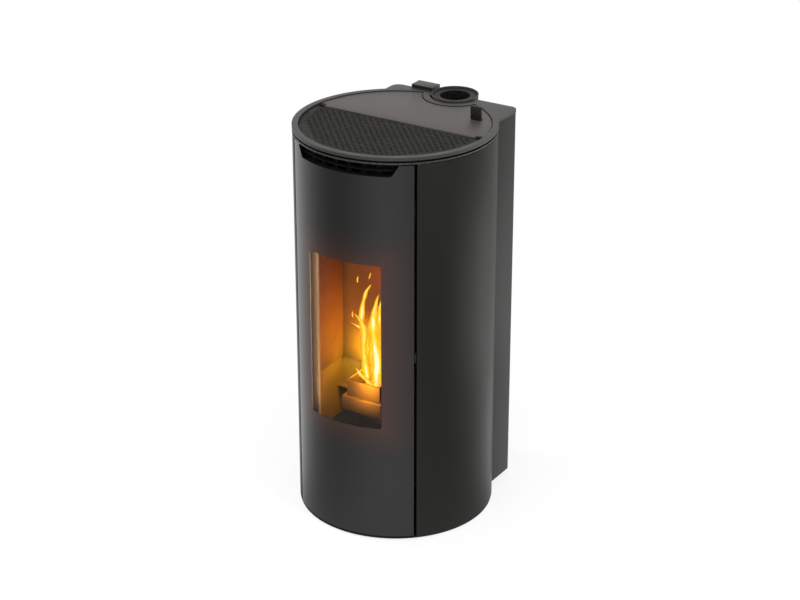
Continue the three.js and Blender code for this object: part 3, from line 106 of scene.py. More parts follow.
def take(piece: Object) -> None:
    """Selects one piece alone and makes it active."""
    deselect()
    piece.select_set(True)
    bpy.context.view_layer.objects.active = piece


@contextmanager
def editing(piece: Object, everything: bool = True) -> Iterator[None]:
    """Opens a piece in edit mode and closes it again.

    Args:
        piece: The object to edit.
        everything: Whether its whole mesh starts out selected.
    """
    take(piece)
    bpy.ops.object.mode_set(mode="EDIT")
    if everything:
        bpy.ops.mesh.select_all(action="SELECT")
    yield
    bpy.ops.object.mode_set(mode="OBJECT")


def apply(piece: Object, kind: str, **values: object) -> None:
    """Adds a modifier with those settings and applies it.

    Args:
        piece: The object.
        kind: The modifier's type.
        values: Its settings.
    """
    take(piece)
    change = piece.modifiers.new(kind.lower(), kind)
    for key, value in values.items():
        setattr(change, key, value)
    bpy.ops.object.modifier_apply(modifier=change.name)


def settle(piece: Object) -> Object:
    """Moves a piece's place, turn and size into its mesh and returns the piece."""
    take(piece)
    bpy.ops.object.transform_apply(location=True, rotation=True, scale=True)
    return piece


def newest(name: str) -> Object:
    """Names the object that was just added, and returns it settled."""
    piece = bpy.context.object
    piece.name = piece.data.name = name
    return settle(piece)


def slab(name: str, x: Span, y: Span, z: Span) -> Object:
    """Adds a block between two corners.

    Args:
        name: The piece's name.
        x: Its extent along X, in metres.
        y: Its extent along Y.
        z: Its extent along Z.

    Returns:
        The block.
    """
    deselect()
    bpy.ops.mesh.primitive_cube_add(size=1, location=[(low + high) / 2 for low, high in (x, y, z)])
    bpy.context.object.scale = [high - low for low, high in (x, y, z)]
    return newest(name)


def post(name: str, radius: float, place: Span, z: Span, sides: int = 96) -> Object:
    """Adds an upright cylinder.

    Args:
        name: The piece's name.
        radius: Its radius in metres.
        place: Its centre in plan.
        z: Its lower and upper level.
        sides: How many sides it has.

    Returns:
        The cylinder.
    """
    deselect()
    bpy.ops.mesh.primitive_cylinder_add(
        vertices=sides, radius=radius, depth=z[1] - z[0], location=(*place, (z[0] + z[1]) / 2)
    )
    return newest(name)


def rod(name: str, radius: float, start: Point, end: Point, sides: int) -> Object:
    """Adds a round bar between two points.

    Args:
        name: The piece's name.
        radius: Its radius in metres.
        start: One end.
        end: The other end.
        sides: How many sides it has.

    Returns:
        The bar.
    """
    deselect()
    along = Vector(end) - Vector(start)
    bpy.ops.mesh.primitive_cylinder_add(
        vertices=sides, radius=radius, depth=along.length, location=(Vector(start) + Vector(end)) / 2,
        rotation=along.to_track_quat("Z", "Y").to_euler(),
    )
    return newest(name)


def tidy(piece: Object) -> Object:
    """Merges doubled points, turns every face outwards and returns the piece."""
    with editing(piece):
        bpy.ops.mesh.remove_doubles(threshold=1e-6)
        bpy.ops.mesh.normals_make_consistent(inside=False)
    return piece


def section(name: str, r: Span, z: Span) -> Object:
    """Adds an upright rectangle at X = r, the section that a ring or a curved sheet is spun from.

    Args:
        name: The piece's name.
        r: Inner and outer distance from the axis.
        z: Lower and upper level.

    Returns:
        The flat section.
    """
    deselect()
    bpy.ops.mesh.primitive_plane_add(
        size=1, location=((r[0] + r[1]) / 2, 0, (z[0] + z[1]) / 2), rotation=(math.pi / 2, 0, 0)
    )
    bpy.context.object.scale = (r[1] - r[0], z[1] - z[0], 1)
    return newest(name)


def curved(name: str, r: Span, z: Span, degrees: Span, step: float) -> Object:
    """Spins a curved sheet round the drum's axis.

    Args:
        name: The piece's name.
        r: Inner and outer radius.
        z: Lower and upper level.
        degrees: First and last angle, from the front towards +X.
        step: The angle of one facet.

    Returns:
        The curved sheet.
    """
    piece = section(name, r, z)
    piece.rotation_euler.z = math.radians(degrees[0] - 90)
    settle(piece)
    turn = degrees[1] - degrees[0]
    steps = max(2, round(abs(turn) / step))
    with editing(piece):
        bpy.ops.mesh.spin(steps=steps, angle=-math.radians(turn), center=(0, 0, 0), axis=(0, 0, 1))
    piece.location = AXIS
    return tidy(settle(piece))


def ring(name: str, r: Span, z: Span, centre: Point = AXIS, steps: int = 180) -> Object:
    """Spins a closed ring of rectangular section.

    Args:
        name: The piece's name.
        r: Inner and outer radius.
        z: Lower and upper level.
        centre: The axis that it turns round.
        steps: How many facets it has.

    Returns:
        The ring.
    """
    piece = section(name, r, z)
    with editing(piece):
        bpy.ops.mesh.delete(type="ONLY_FACE")
        bpy.ops.mesh.select_all(action="SELECT")
        bpy.ops.mesh.spin(steps=steps, angle=2 * math.pi, center=(0, 0, 0), axis=(0, 0, 1))
    piece.location = centre
    return tidy(settle(piece))


class Cut(Enum):
    """How a tool body changes a piece."""

    AWAY = "DIFFERENCE"
    ADD = "UNION"
    KEEP = "INTERSECT"


def work(piece: Object, how: Cut, *tools: Object) -> Object:
    """Cuts or joins a piece with tool bodies, which are used up.

    Args:
        piece: The object that stays.
        how: What the tools do to it.
        tools: The tool bodies.

    Returns:
        The same object.
    """
    for tool in tools:
        apply(piece, "BOOLEAN", operation=how.value, solver="EXACT", object=tool)
        bpy.data.objects.remove(tool, do_unlink=True)
    return piece


def fused(name: str, pieces: Iterable[Object]) -> Object:
    """Joins separate bodies into one object without cutting them.

    Args:
        name: The joined piece's name.
        pieces: The bodies.

    Returns:
        The joined object.
    """
    first, *others = pieces
    take(first)
    for piece in others:
        piece.select_set(True)
    bpy.ops.object.join()
    first.name = first.data.name = name
    return first


def repeated(name: str, first: Object, places: Iterable[tuple[Point, Point]]) -> Object:
    """Copies a piece to several places, each copy with its own mesh, and joins the copies.

    Args:
        name: The joined piece's name.
        first: The piece to copy, which is used up.
        places: Where each copy goes, and how it is turned.

    Returns:
        The joined object.
    """
    copies = []
    for spot, turn in places:
        copy = bpy.data.objects.new(name, first.data.copy())
        copy.location, copy.rotation_euler = spot, turn
        bpy.context.scene.collection.objects.link(copy)
        copies.append(copy)
    bpy.data.objects.remove(first, do_unlink=True)
    return settle(fused(name, copies))


class Part(Enum):
    """The parts of a mesh that can be picked."""

    POINTS = "vertices"
    EDGES = "edges"
    FACES = "polygons"


def pick(piece: Object, part: Part, test: Test) -> None:
    """Selects faces, edges or points by their place and direction.

    Args:
        piece: The object, in object mode.
        part: What is selected.
        test: Given the middle and the normal or direction, says whether to select.
    """
    mesh = piece.data
    for item in (*mesh.vertices, *mesh.edges, *mesh.polygons):
        item.select = False
    for item in getattr(mesh, part.value):
        if part is Part.EDGES:
            a, b = (mesh.vertices[i].co for i in item.vertices)
            item.select = test((a + b) / 2, (b - a).normalized())
        else:
            item.select = test(item.co if part is Part.POINTS else item.center, item.normal)


def bevel_edges(piece: Object, width: float, segments: int, test: Test) -> Object:
    """Rounds the edges that a test picks.

    Args:
        piece: The object.
        width: How far the rounding reaches.
        segments: How many facets it has.
        test: Given an edge's middle and direction, says whether to round it.

    Returns:
        The same object.
    """
    with editing(piece):
        bpy.ops.mesh.select_mode(type="EDGE")
        bpy.ops.mesh.select_all(action="DESELECT")
    pick(piece, Part.EDGES, test)
    with editing(piece, everything=False):
        bpy.ops.mesh.bevel(offset=width, segments=segments, profile=0.5, affect="EDGES")
        bpy.ops.mesh.select_mode(type="VERT")
    return piece


def soften(piece: Object, width: float, segments: int = 2, angle: float = 40) -> Object:
    """Rounds every sharp edge a little and shades the piece smooth.

    Args:
        piece: The object.
        width: The rounding's width in metres.
        segments: How many facets it has.
        angle: Edges sharper than this, in degrees, are rounded.

    Returns:
        The same object.
    """
    if width > 0:
        apply(
            piece, "BEVEL", width=width, segments=segments, limit_method="ANGLE",
            angle_limit=math.radians(angle), harden_normals=False, use_clamp_overlap=True,
        )
    take(piece)
    bpy.ops.object.shade_smooth_by_angle(angle=math.radians(angle - 5))
    return piece


def place(piece: Object, finish: "Finish", body: str, slot: str, *replaces: str) -> None:
    """Gives a finished piece its finish and its body, and hides the solids it stands for.

    Args:
        piece: The finished object.
        finish: What it is made of.
        body: The body that carries it.
        slot: The record's finish that it belongs to; not used.
        replaces: The solids it stands for.
    """
    piece.data.materials.clear()
    piece.data.materials.append(finish.material())
    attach(piece, body)
    if replaces:
        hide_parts(*replaces)
    log.info("placed %s on %s", piece.name, body)


def dress(name: str, node: str, width: float, finish: "Finish", body: str, slot: str) -> None:
    """Dresses a merged copy of a solid whose shape is kept.

    Args:
        name: The copy's name.
        node: The solid it stands for.
        width: How much its edges are rounded, in millimetres.
        finish: What it is made of.
        body: The body that carries it.
        slot: The record's finish that it belongs to.
    """
    deselect()
    piece = bpy.data.objects.new(name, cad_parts[node].data.copy())
    piece.data.name = name
    piece.data.materials.clear()
    bpy.context.scene.collection.objects.link(piece)
    with editing(piece):
        bpy.ops.mesh.remove_doubles(threshold=1e-5)
        bpy.ops.mesh.dissolve_limited(angle_limit=math.radians(0.5))
    place(soften(piece, width * MM), finish, body, slot, node)


# Finishes: shared shader groups and the materials made from them.


class Nodes:
    """A tree of shader nodes and short ways to add to it."""

    def __init__(self, tree: Tree) -> None:
        """Works on that tree."""
        self.tree = tree

    def plug(self, value: object, end: Socket) -> None:
        """Links a socket to another one, or gives that one a plain value."""
        if isinstance(value, Socket):
            self.tree.links.new(value, end)
        else:
            end.default_value = value

    def node(self, kind: str, inputs: dict[str | int, object] | None = None, **settings: object) -> Node:
        """Adds a node.

        Args:
            kind: The node's type, without the words that all types start with.
            inputs: What goes into it, by name or number: sockets and plain values.
            settings: Its settings.

        Returns:
            The node.
        """
        made = self.tree.nodes.new("ShaderNode" + kind)
        for key, value in settings.items():
            setattr(made, key, value)
        for key, value in (inputs or {}).items():
            self.plug(value, made.inputs[key])
        return made

    def calc(self, kind: str, first: object, second: object = 0.0, clamp: bool = False) -> Socket:
        """Returns the result of a calculation, which stays between 0 and 1 if it is clamped."""
        return self.node("Math", {0: first, 1: second}, operation=kind, use_clamp=clamp).outputs[0]

    def mix(self, share: object, first: object, second: object) -> Socket:
        """Returns a mix of two colours with that share of the second."""
        return self.node("Mix", {0: share, 6: first, 7: second}, data_type="RGBA").outputs[2]

    def noise(self, vector: Socket, scale: object, detail: float, rough: float) -> Socket:
        """Returns a noise pattern of that scale, with finer layers of that strength."""
        values = {"Vector": vector, "Scale": scale, "Detail": detail, "Roughness": rough}
        return self.node("TexNoise", values).outputs["Fac"]

    def remap(
        self, value: Socket, low: float, high: float, start: object = 0.0, end: object = 1.0
    ) -> Socket:
        """Returns a value spread over another range, from start at low to end at high."""
        values = {"Value": value, "From Min": low, "From Max": high, "To Min": start, "To Max": end}
        return self.node("MapRange", values).outputs["Result"]

    def split(self, vector: Socket) -> bpy.types.bpy_prop_collection:
        """Returns the X, Y and Z of a vector."""
        return self.node("SeparateXYZ", {0: vector}).outputs


class Group(Nodes):
    """A shader group that materials share, read at the place that its Vector gives."""

    def __init__(self, name: str, takes: dict[str, object], *gives: str) -> None:
        """Starts the group with its sockets.

        Args:
            name: Its name.
            takes: Its inputs after the Vector, with the values they have where nothing is linked.
            gives: Its outputs.
        """
        super().__init__(bpy.data.node_groups.new(name, "ShaderNodeTree"))
        source = self.tree.nodes.new("NodeGroupInput")
        self.sink = self.tree.nodes.new("NodeGroupOutput")
        kinds = {3: "NodeSocketVector", 4: "NodeSocketColor"}
        for title, value in {"Vector": (0.0, 0.0, 0.0), **takes}.items():
            kind = kinds[len(value)] if isinstance(value, tuple) else "NodeSocketFloat"
            socket = self.tree.interface.new_socket(title, in_out="INPUT", socket_type=kind)
            socket.default_value = value
        for title in gives:
            kind = "NodeSocketColor" if title == "Colour" else "NodeSocketFloat"
            self.tree.interface.new_socket(title, in_out="OUTPUT", socket_type=kind)
        self.given = source.outputs

    def give(self, **values: Socket) -> Tree:
        """Links the outputs and returns the finished group."""
        for title, value in values.items():
            self.plug(value, self.sink.inputs[title])
        return self.tree

    def drawn(self, stretch: Socket) -> Socket:
        """Returns the group's place, stretched."""
        made = self.node("VectorMath", {0: self.given["Vector"], 1: stretch}, operation="MULTIPLY")
        return made.outputs[0]

    def root(self, *sides: Socket) -> Socket:
        """Returns the distance that two sides at right angles make."""
        return self.calc("SQRT", self.calc("ADD", *(self.calc("MULTIPLY", side, side) for side in sides)))


@cache
def speckle_group() -> Tree:
    """Returns the group for a coat with fine grain, broad clouds and slight roughness changes."""
    takes = {
        "Colour": (0.5, 0.5, 0.5, 1), "Second": (0.4, 0.4, 0.4, 1), "Grain Scale": 900.0, "Cloud Scale": 6.0,
        "Clouds": 0.3, "Rough Low": 0.4, "Rough High": 0.55,
    }
    group = Group("speckled coat", takes, "Colour", "Roughness", "Height")
    given = group.given
    fine = group.noise(given["Vector"], given["Grain Scale"], 2, 0.6)
    broad = group.noise(given["Vector"], given["Cloud Scale"], 5, 0.55)
    share = group.calc("MULTIPLY", group.remap(broad, 0.35, 0.68), given["Clouds"])
    speck = group.calc("MULTIPLY", group.remap(fine, 0.5, 0.8), given["Clouds"])
    both = group.calc("ADD", group.calc("MULTIPLY", broad, 0.6), group.calc("MULTIPLY", fine, 0.4))
    return group.give(
        Colour=group.mix(group.calc("ADD", share, speck, clamp=True), given["Colour"], given["Second"]),
        Roughness=group.remap(both, 0.3, 0.7, given["Rough Low"], given["Rough High"]), Height=fine,
    )


@cache
def edge_wear_and_glint_group() -> Tree:
    """Returns the group that masks outer edges and corners, for rubbed edges and, on the grille, painted
    highlights on the hole rims.
    """
    group = Group("edge wear", {"Amount": 0.3}, "Mask")
    edges = group.remap(group.node("NewGeometry").outputs["Pointiness"], 0.52, 0.62)
    chips = group.remap(group.noise(group.given["Vector"], 140.0, 4, 0.65), 0.4, 0.62)
    worn_and_glint = group.calc("MULTIPLY", edges, chips)
    return group.give(Mask=group.calc("MULTIPLY", worn_and_glint, group.given["Amount"], clamp=True))


@cache
def brushed_group() -> Tree:
    """Returns the group for grain that is drawn out along one direction."""
    group = Group("brushed grain", {"Stretch": (1.0, 1.0, 0.03), "Scale": 500.0}, "Grain")
    return group.give(Grain=group.noise(group.drawn(group.given["Stretch"]), group.given["Scale"], 3, 0.6))


@cache
def heat_group() -> Tree:
    """Returns the group that turns a level on the object into a share from 0 to 1, with licks in it."""
    group = Group("height glow", {"Low": 0.0, "High": 1.0, "Licks": 0.2}, "Share")
    given = group.given
    rise = group.calc("SUBTRACT", group.split(given["Vector"])["Z"], given["Low"])
    share = group.calc("DIVIDE", rise, group.calc("SUBTRACT", given["High"], given["Low"]))
    waver = group.calc("SUBTRACT", group.noise(given["Vector"], 38.0, 3, 0.6), 0.5)
    licks = group.calc("MULTIPLY", waver, given["Licks"])
    return group.give(Share=group.calc("ADD", share, licks, clamp=True))


@cache
def halo_group() -> Tree:
    """Returns the group that masks the surface round an upright window and fades away from it."""
    takes = {"Half Width": 0.1, "Middle": 0.1, "Half Height": 0.1, "Reach": 0.1}
    group = Group("window halo", takes, "Mask")
    given = group.given
    where = group.split(given["Vector"])
    across = group.calc("SUBTRACT", group.calc("ABSOLUTE", where["X"]), given["Half Width"])
    level = group.calc("SUBTRACT", where["Z"], given["Middle"])
    along = group.calc("SUBTRACT", group.calc("ABSOLUTE", level), given["Half Height"])
    away = group.root(*(group.calc("MAXIMUM", side, 0.0) for side in (across, along)))
    near = group.calc("SUBTRACT", 1.0, group.calc("DIVIDE", away, given["Reach"]), clamp=True)
    return group.give(Mask=group.calc("MULTIPLY", near, near))


@cache
def flame_group() -> Tree:
    """Returns the group that frays a sheet of flame, with its core bright and its edges and tip thin."""
    takes = {"Place": (0.0, 0.0, 0.0), "Stretch": (1.0, 1.0, 0.4), "Ragged": 1.3}
    group = Group("flame licks", takes, "Cover", "Core")
    on_sheet = group.split(group.given["Place"])
    rise = on_sheet["Y"]
    swing = group.calc("SUBTRACT", group.calc("MULTIPLY", on_sheet["X"], 2.0), 1.0)
    side = group.calc("SUBTRACT", 1.0, group.calc("ABSOLUTE", swing))
    broad = group.calc("SUBTRACT", group.noise(group.drawn(group.given["Stretch"]), 62.0, 3, 0.6), 0.5)
    body = group.calc("ADD", side, group.calc("MULTIPLY", broad, group.given["Ragged"]))
    body = group.calc("SUBTRACT", body, group.calc("MULTIPLY", group.calc("MULTIPLY", rise, rise), 0.18))
    ends = group.calc("MULTIPLY", group.remap(rise, 0.93, 1.0, 1.0, 0.0), group.remap(rise, 0.0, 0.08))
    cover = group.calc("MULTIPLY", group.remap(body, 0.12, 0.4), ends)
    return group.give(Cover=cover, Core=group.remap(body, 0.15, 1.0))


@cache
def flange_group() -> Tree:
    """Returns the group that masks what lies outside a radius round the drum's axis."""
    group = Group("outside of a radius", {"Radius": 0.2, "Blur": 0.002}, "Mask")
    given = group.given
    from_axis = group.node("VectorMath", {0: given["Vector"], 1: AXIS}, operation="SUBTRACT")
    where = group.split(from_axis.outputs[0])
    away = group.calc("SUBTRACT", group.root(where["X"], where["Y"]), given["Radius"])
    return group.give(Mask=group.calc("DIVIDE", away, given["Blur"], clamp=True))


class Surface(Nodes):
    """A material with a plain surface shader, read at the object's own coordinates."""

    def __init__(self, name: str) -> None:
        """Starts a material of that name."""
        self.material = bpy.data.materials.new(name)
        self.material.use_nodes = True
        super().__init__(self.material.node_tree)
        self.shader = self.tree.nodes["Principled BSDF"]
        self.where = self.node("TexCoord").outputs["Object"]

    def group(self, tree: Tree, **values: object) -> bpy.types.bpy_prop_collection:
        """Places a shared group.

        Args:
            tree: The group.
            values: Its inputs, with spaces written as underscores.

        Returns:
            The group's outputs.
        """
        made = self.node("Group", node_tree=tree)
        for key, value in {"Vector": self.where, **values}.items():
            self.plug(value, made.inputs[key.replace("_", " ")])
        return made.outputs

    def feed(self, **values: object) -> None:
        """Links or sets inputs of the shader, with spaces in their names written as underscores."""
        for key, value in values.items():
            self.plug(value, self.shader.inputs[key.replace("_", " ")])

    def bump(self, height: Socket, strength: float, distance: float) -> None:
        """Feeds the shader a normal bumped by a height, with its strength and its depth in metres."""
        values = {"Strength": strength, "Distance": distance, "Height": height}
        self.feed(Normal=self.node("Bump", values).outputs["Normal"])

    def glow(self, share: Socket, stops: tuple[tuple[float, Point], ...], strength: float) -> None:
        """Makes the surface give light of a colour that a share picks.

        Args:
            share: Where on the row of colours.
            stops: Positions and their colours.
            strength: How bright it is.
        """
        made = self.node("ValToRGB", {"Fac": share})
        marks = made.color_ramp.elements
        while len(marks) < len(stops):
            marks.new(0.5)
        for mark, (position, colour) in zip(marks, stops):
            mark.position = position
            mark.color = (*colour, 1)
        self.feed(Emission_Color=made.outputs["Color"], Emission_Strength=strength)


class Finish:
    """What a piece is made of. Each kind builds its material once."""

    name: str

    def material(self) -> bpy.types.Material:
        """Returns the material, built at its first use."""
        found = bpy.data.materials.get(self.name)
        if not found:
            made = Surface(self.name)
            self.build(made)
            found = made.material
        return found

    def build(self, made: Surface) -> None:
        """Builds the material on an empty one; each kind has its own way."""
        raise NotImplementedError


@dataclass(frozen=True)
class Coated(Finish):
    """A surface with specks and clouds, and what each kind adds to it."""

    name: str
    colour: Point
    second: Point
    rough: Span = (0.42, 0.56)
    grain: float = 900.0
    cloud_scale: float = 6.0
    clouds: float = 0.4
    relief: float = 0.02
    depth: float = 0.4 * MM
    specular: float = 0.5

    def build(self, made: Surface) -> None:
        """Builds the coat, and a relief from it where it has one."""
        coat = made.group(
            speckle_group(), Colour=(*self.colour, 1), Second=(*self.second, 1), Grain_Scale=self.grain,
            Cloud_Scale=self.cloud_scale, Clouds=self.clouds, Rough_Low=self.rough[0],
            Rough_High=self.rough[1],
        )
        made.feed(Base_Color=self.tone(made, coat["Colour"]), Specular_IOR_Level=self.specular)
        made.feed(Roughness=coat["Roughness"])
        if self.relief:
            made.bump(coat["Height"], self.relief, self.depth)

    def tone(self, made: Surface, colour: Socket) -> Socket:
        """Returns what this kind of surface makes of the coat's colour."""
        return colour


@dataclass(frozen=True)
class Paint(Coated):
    """Stove paint or another matt coat on steel."""

    worn_and_glint: Point = (0.3, 0.29, 0.28)
    wear_and_glint: float = 0.15
    coat: Span = (0.0, 0.2)

    def tone(self, made: Surface, colour: Socket) -> Socket:
        """Lightens the paint's edges, as rubbed paint and, on the grille, as painted highlights on the hole
        rims.
        """
        made.feed(Coat_Weight=self.coat[0], Coat_Roughness=self.coat[1])
        return made.mix(made.group(edge_wear_and_glint_group(), Amount=self.wear_and_glint)["Mask"], colour, (*self.worn_and_glint, 1))


@dataclass(frozen=True)
class Enamel(Coated):
    """Black enamel print on glass, with a painted glow round the window: a brown tint in its colour that stands
    for the fire's light seen through the thin print.
    """

    colour: Point = (0.0055, 0.0055, 0.0053)
    second: Point = (0.0085, 0.0083, 0.008)
    rough: Span = (0.1, 0.14)
    grain: float = 700.0
    cloud_scale: float = 5.0
    clouds: float = 0.5
    relief: float = 0.0
    specular: float = 0.42
    # tint: a painted glow, the fire's light round the window mixed into the print's colour
    tint: Point = (0.034, 0.012, 0.006)
    window_half: float = 107 * MM
    window: Span = (326 * MM, 779 * MM)
    reach: float = 110 * MM

    def tone(self, made: Surface, colour: Socket) -> Socket:
        """Paints the fire's glow into the print's colour round the window."""
        low, high = self.window
        halo = made.group(
            halo_group(), Half_Width=self.window_half, Middle=(low + high) / 2, Half_Height=(high - low) / 2,
            Reach=self.reach,
        )
        return made.mix(halo["Mask"], colour, (*self.tint, 1))


@dataclass(frozen=True)
class Metal(Coated):
    """Bare or zinc-coated steel with drawn grain."""

    rough: Span = (0.3, 0.5)
    grain: float = 160.0
    cloud_scale: float = 14.0
    clouds: float = 0.5
    relief: float = 0.0
    scale: float = 500.0
    drawn: Span = (0.04, 0.3 * MM)
    worn_and_glint: Point = (0.75, 0.75, 0.76)
    wear_and_glint: float = 0.3

    def tone(self, made: Surface, colour: Socket) -> Socket:
        """Draws the grain and wears the edges."""
        grain = made.group(brushed_group(), Scale=self.scale)["Grain"]
        made.feed(Metallic=1.0)
        made.bump(grain, *self.drawn)
        tone = made.mix(grain, colour, (*(0.9 * c for c in self.colour), 1))
        return made.mix(made.group(edge_wear_and_glint_group(), Amount=self.wear_and_glint)["Mask"], tone, (*self.worn_and_glint, 1))


@dataclass(frozen=True)
class Board(Coated):
    """Pressed fire board: granular, warm, darker towards the bottom."""

    colour: Point = (0.19, 0.082, 0.013)
    second: Point = (0.13, 0.05, 0.01)
    rough: Span = (0.85, 1.0)
    grain: float = 420.0
    cloud_scale: float = 9.0
    clouds: float = 0.8
    relief: float = 0.5
    depth: float = 1.2 * MM
    # the colour mixed in towards the bottom of the board
    bottom_colour: Point = (0.06, 0.035, 0.022)
    levels: Span = (0.38, 0.6)

    def tone(self, made: Surface, colour: Socket) -> Socket:
        """Darkens the board towards the bottom."""
        heat = made.group(heat_group(), Low=self.levels[0], High=self.levels[1], Licks=0.5)
        return made.mix(heat["Share"], (*self.bottom_colour, 1), colour)


@dataclass(frozen=True)
class Casting(Coated):
    """Sooty cast iron, warm from the fire, with its front flange painted pale as painted light: the fire's
    light falling on it.
    """

    colour: Point = (0.075, 0.045, 0.026)
    second: Point = (0.13, 0.075, 0.04)
    rough: Span = (0.75, 0.95)
    grain: float = 350.0
    cloud_scale: float = 10.0
    clouds: float = 0.7
    relief: float = 0.35
    specular: float = 0.2
    # flange: painted light, a paler colour that stands for the fire lighting the front flange
    flange: Point = (0.13, 0.094, 0.066)
    flange_radius: float = 221 * MM

    def tone(self, made: Surface, colour: Socket) -> Socket:
        """Paints the fire's light onto the flange as a paler colour."""
        outer = made.group(flange_group(), Radius=self.flange_radius)
        return made.mix(outer["Mask"], colour, (*self.flange, 1))


@dataclass(frozen=True)
class Embers(Coated):
    """Burning wood pellets: charred, with glowing patches."""

    colour: Point = (0.035, 0.025, 0.02)
    second: Point = (0.2, 0.17, 0.15)
    rough: Span = (0.8, 1.0)
    grain: float = 500.0
    cloud_scale: float = 60.0
    clouds: float = 0.7
    relief: float = 0.6
    depth: float = 1 * MM
    strength: float = 5.0
    levels: Span = (0.33, 0.42)
    stops: tuple[tuple[float, Point], ...] = (
        (0.0, (0.02, 0.002, 0.0)), (0.45, (0.6, 0.06, 0.005)), (0.8, (1.0, 0.35, 0.05)),
    )

    def tone(self, made: Surface, colour: Socket) -> Socket:
        """Lets the pellets glow."""
        heat = made.group(heat_group(), Low=self.levels[0], High=self.levels[1], Licks=3.0)
        made.glow(heat["Share"], self.stops, self.strength)
        return colour


@dataclass(frozen=True)
class ClearGlass(Finish):
    """Polished glass ceramic."""

    name: str
    tint: Point = (0.9, 0.9, 0.88)
    rough: float = 0.02
    bending: float = 1.15

    def build(self, made: Surface) -> None:
        """Builds the glass material."""
        made.feed(Base_Color=(*self.tint, 1), Roughness=self.rough, IOR=self.bending, Metallic=0.0)
        made.feed(Transmission_Weight=1.0)


@dataclass(frozen=True)
class Flame(Finish):
    """Burning gas: pale yellow inside, orange and ragged at its edges."""

    name: str
    strength: float = 1.3
    stops: tuple[tuple[float, Point], ...] = (
        (0.0, (0.75, 0.14, 0.003)), (0.2, (0.95, 0.36, 0.008)), (0.5, (0.9, 0.52, 0.008)),
        (0.8, (0.95, 0.7, 0.06)), (1.0, (1.0, 0.92, 0.62)),
    )

    def build(self, made: Surface) -> None:
        """Builds the flame material."""
        licks = made.group(flame_group(), Place=made.node("UVMap").outputs["UV"])
        made.feed(
            Base_Color=(0.02, 0.01, 0.005, 1), Roughness=1.0, Specular_IOR_Level=0.0, Alpha=licks["Cover"]
        )
        made.glow(licks["Core"], self.stops, self.strength)


@dataclass(frozen=True)
class Braid(Finish):
    """Braided rope: two sets of strands that cross."""

    name: str
    colour: Point = (0.07, 0.07, 0.068)
    scale: float = 260.0

    def build(self, made: Surface) -> None:
        """Builds the rope material."""
        waves = []
        for turn in (0.7, -0.7):
            mapping = made.node("Mapping", {"Rotation": (turn, turn, 0), "Vector": made.where})
            values = {"Scale": self.scale, "Distortion": 0.6, "Vector": mapping.outputs[0]}
            waves.append(made.node("TexWave", values).outputs["Fac"])
        both = made.calc("MAXIMUM", *waves)
        shaded = (*(0.4 * c for c in self.colour), 1)
        made.feed(Base_Color=made.mix(both, shaded, (*self.colour, 1)), Roughness=0.95)
        made.bump(both, 0.8, 0.8 * MM)


DARK_STEEL = Paint(
    "dark stove paint", (0.0078, 0.0078, 0.0062), (0.0095, 0.0095, 0.0078), wear_and_glint=0.0, rough=(0.36, 0.42),
    clouds=0.3, relief=0.006, specular=0.16,
)
RIM_STEEL = Paint(
    "rim paint", (0.021, 0.0208, 0.0183), (0.027, 0.0265, 0.024), wear_and_glint=0.05, rough=(0.4, 0.5), clouds=0.5,
    specular=0.4,
)
LID_STEEL = Paint(
    "lid paint", (0.039, 0.0335, 0.031), (0.055, 0.0465, 0.043), wear_and_glint=0.0, rough=(0.45, 0.58), clouds=0.8,
    cloud_scale=12.0,
)
HOUSING_STEEL = Paint(
    "housing paint", (0.0175, 0.0168, 0.0157), (0.021, 0.0203, 0.019), wear_and_glint=0.0, rough=(0.42, 0.52),
    relief=0.008, specular=0.24,
)
TARNISHED = Paint(
    "tarnished steel", (0.058, 0.05, 0.043), (0.04, 0.035, 0.031), wear_and_glint=0.0, rough=(0.5, 0.65), clouds=0.4,
    cloud_scale=9.0,
)
# Besides real black parts, this finish also darkens the grey frame under the top plate and the grille, as
# painted shade.
BLACK_STEEL_AND_SHADE = Paint(
    "black heat-proof paint", (0.007, 0.007, 0.0065), (0.012, 0.0115, 0.011), wear_and_glint=0.0, rough=(0.6, 0.75),
    specular=0.2,
)
PIPE_STEEL = Paint(
    "flue paint", (0.036, 0.0342, 0.032), (0.046, 0.0437, 0.041), wear_and_glint=0.0, rough=(0.5, 0.62), clouds=0.5,
    specular=0.3,
)
LEDGE_STEEL = Paint(
    "ledge paint", (0.008, 0.0078, 0.0072), (0.012, 0.0117, 0.011), rough=(0.5, 0.6), clouds=0.6,
    specular=0.2,
)
# The grille keeps the default edge lightening: on it the lighter hole rims are painted highlights.
GRILLE_STEEL = Paint(
    "grille paint", (0.005, 0.005, 0.0043), (0.009, 0.0088, 0.0078), rough=(0.5, 0.65), clouds=0.6,
    specular=0.1,
)
PLASTIC = Paint(
    "moulded black", (0.006, 0.006, 0.0055), (0.009, 0.009, 0.0085), wear_and_glint=0.05, rough=(0.4, 0.5),
    grain=1600.0, clouds=0.3, relief=0.1, specular=0.25,
)
SLOT_BLACK = Paint(
    "slot black", (0.003, 0.003, 0.003), (0.005, 0.005, 0.005), rough=(0.8, 0.95), specular=0.1
)
GLOSS_BLACK = Paint(
    "gloss black lens", (0.008, 0.008, 0.009), (0.01, 0.01, 0.01), wear_and_glint=0.0, rough=(0.08, 0.12), relief=0.0
)
CIRCUIT = Paint("lacquered board", (0.02, 0.11, 0.05), (0.03, 0.15, 0.07), rough=(0.3, 0.4), coat=(0.4, 0.2))
ZINC = Metal("zinc-coated steel", (0.5, 0.51, 0.52), (0.62, 0.63, 0.64))
STEEL_PART = Metal("turned steel", (0.45, 0.45, 0.46), (0.55, 0.55, 0.56), rough=(0.22, 0.35), scale=900.0)
SCREW = Metal("screw steel", (0.4, 0.4, 0.41), (0.5, 0.5, 0.5), rough=(0.25, 0.4), scale=700.0)
CAST_IRON = Casting("sooty cast iron")
PANE = ClearGlass("door glass")
FIRE_BOARD = Board("fire board")
ROPE = Braid("sealing rope")


# The stove, one class for each sub-assembly.


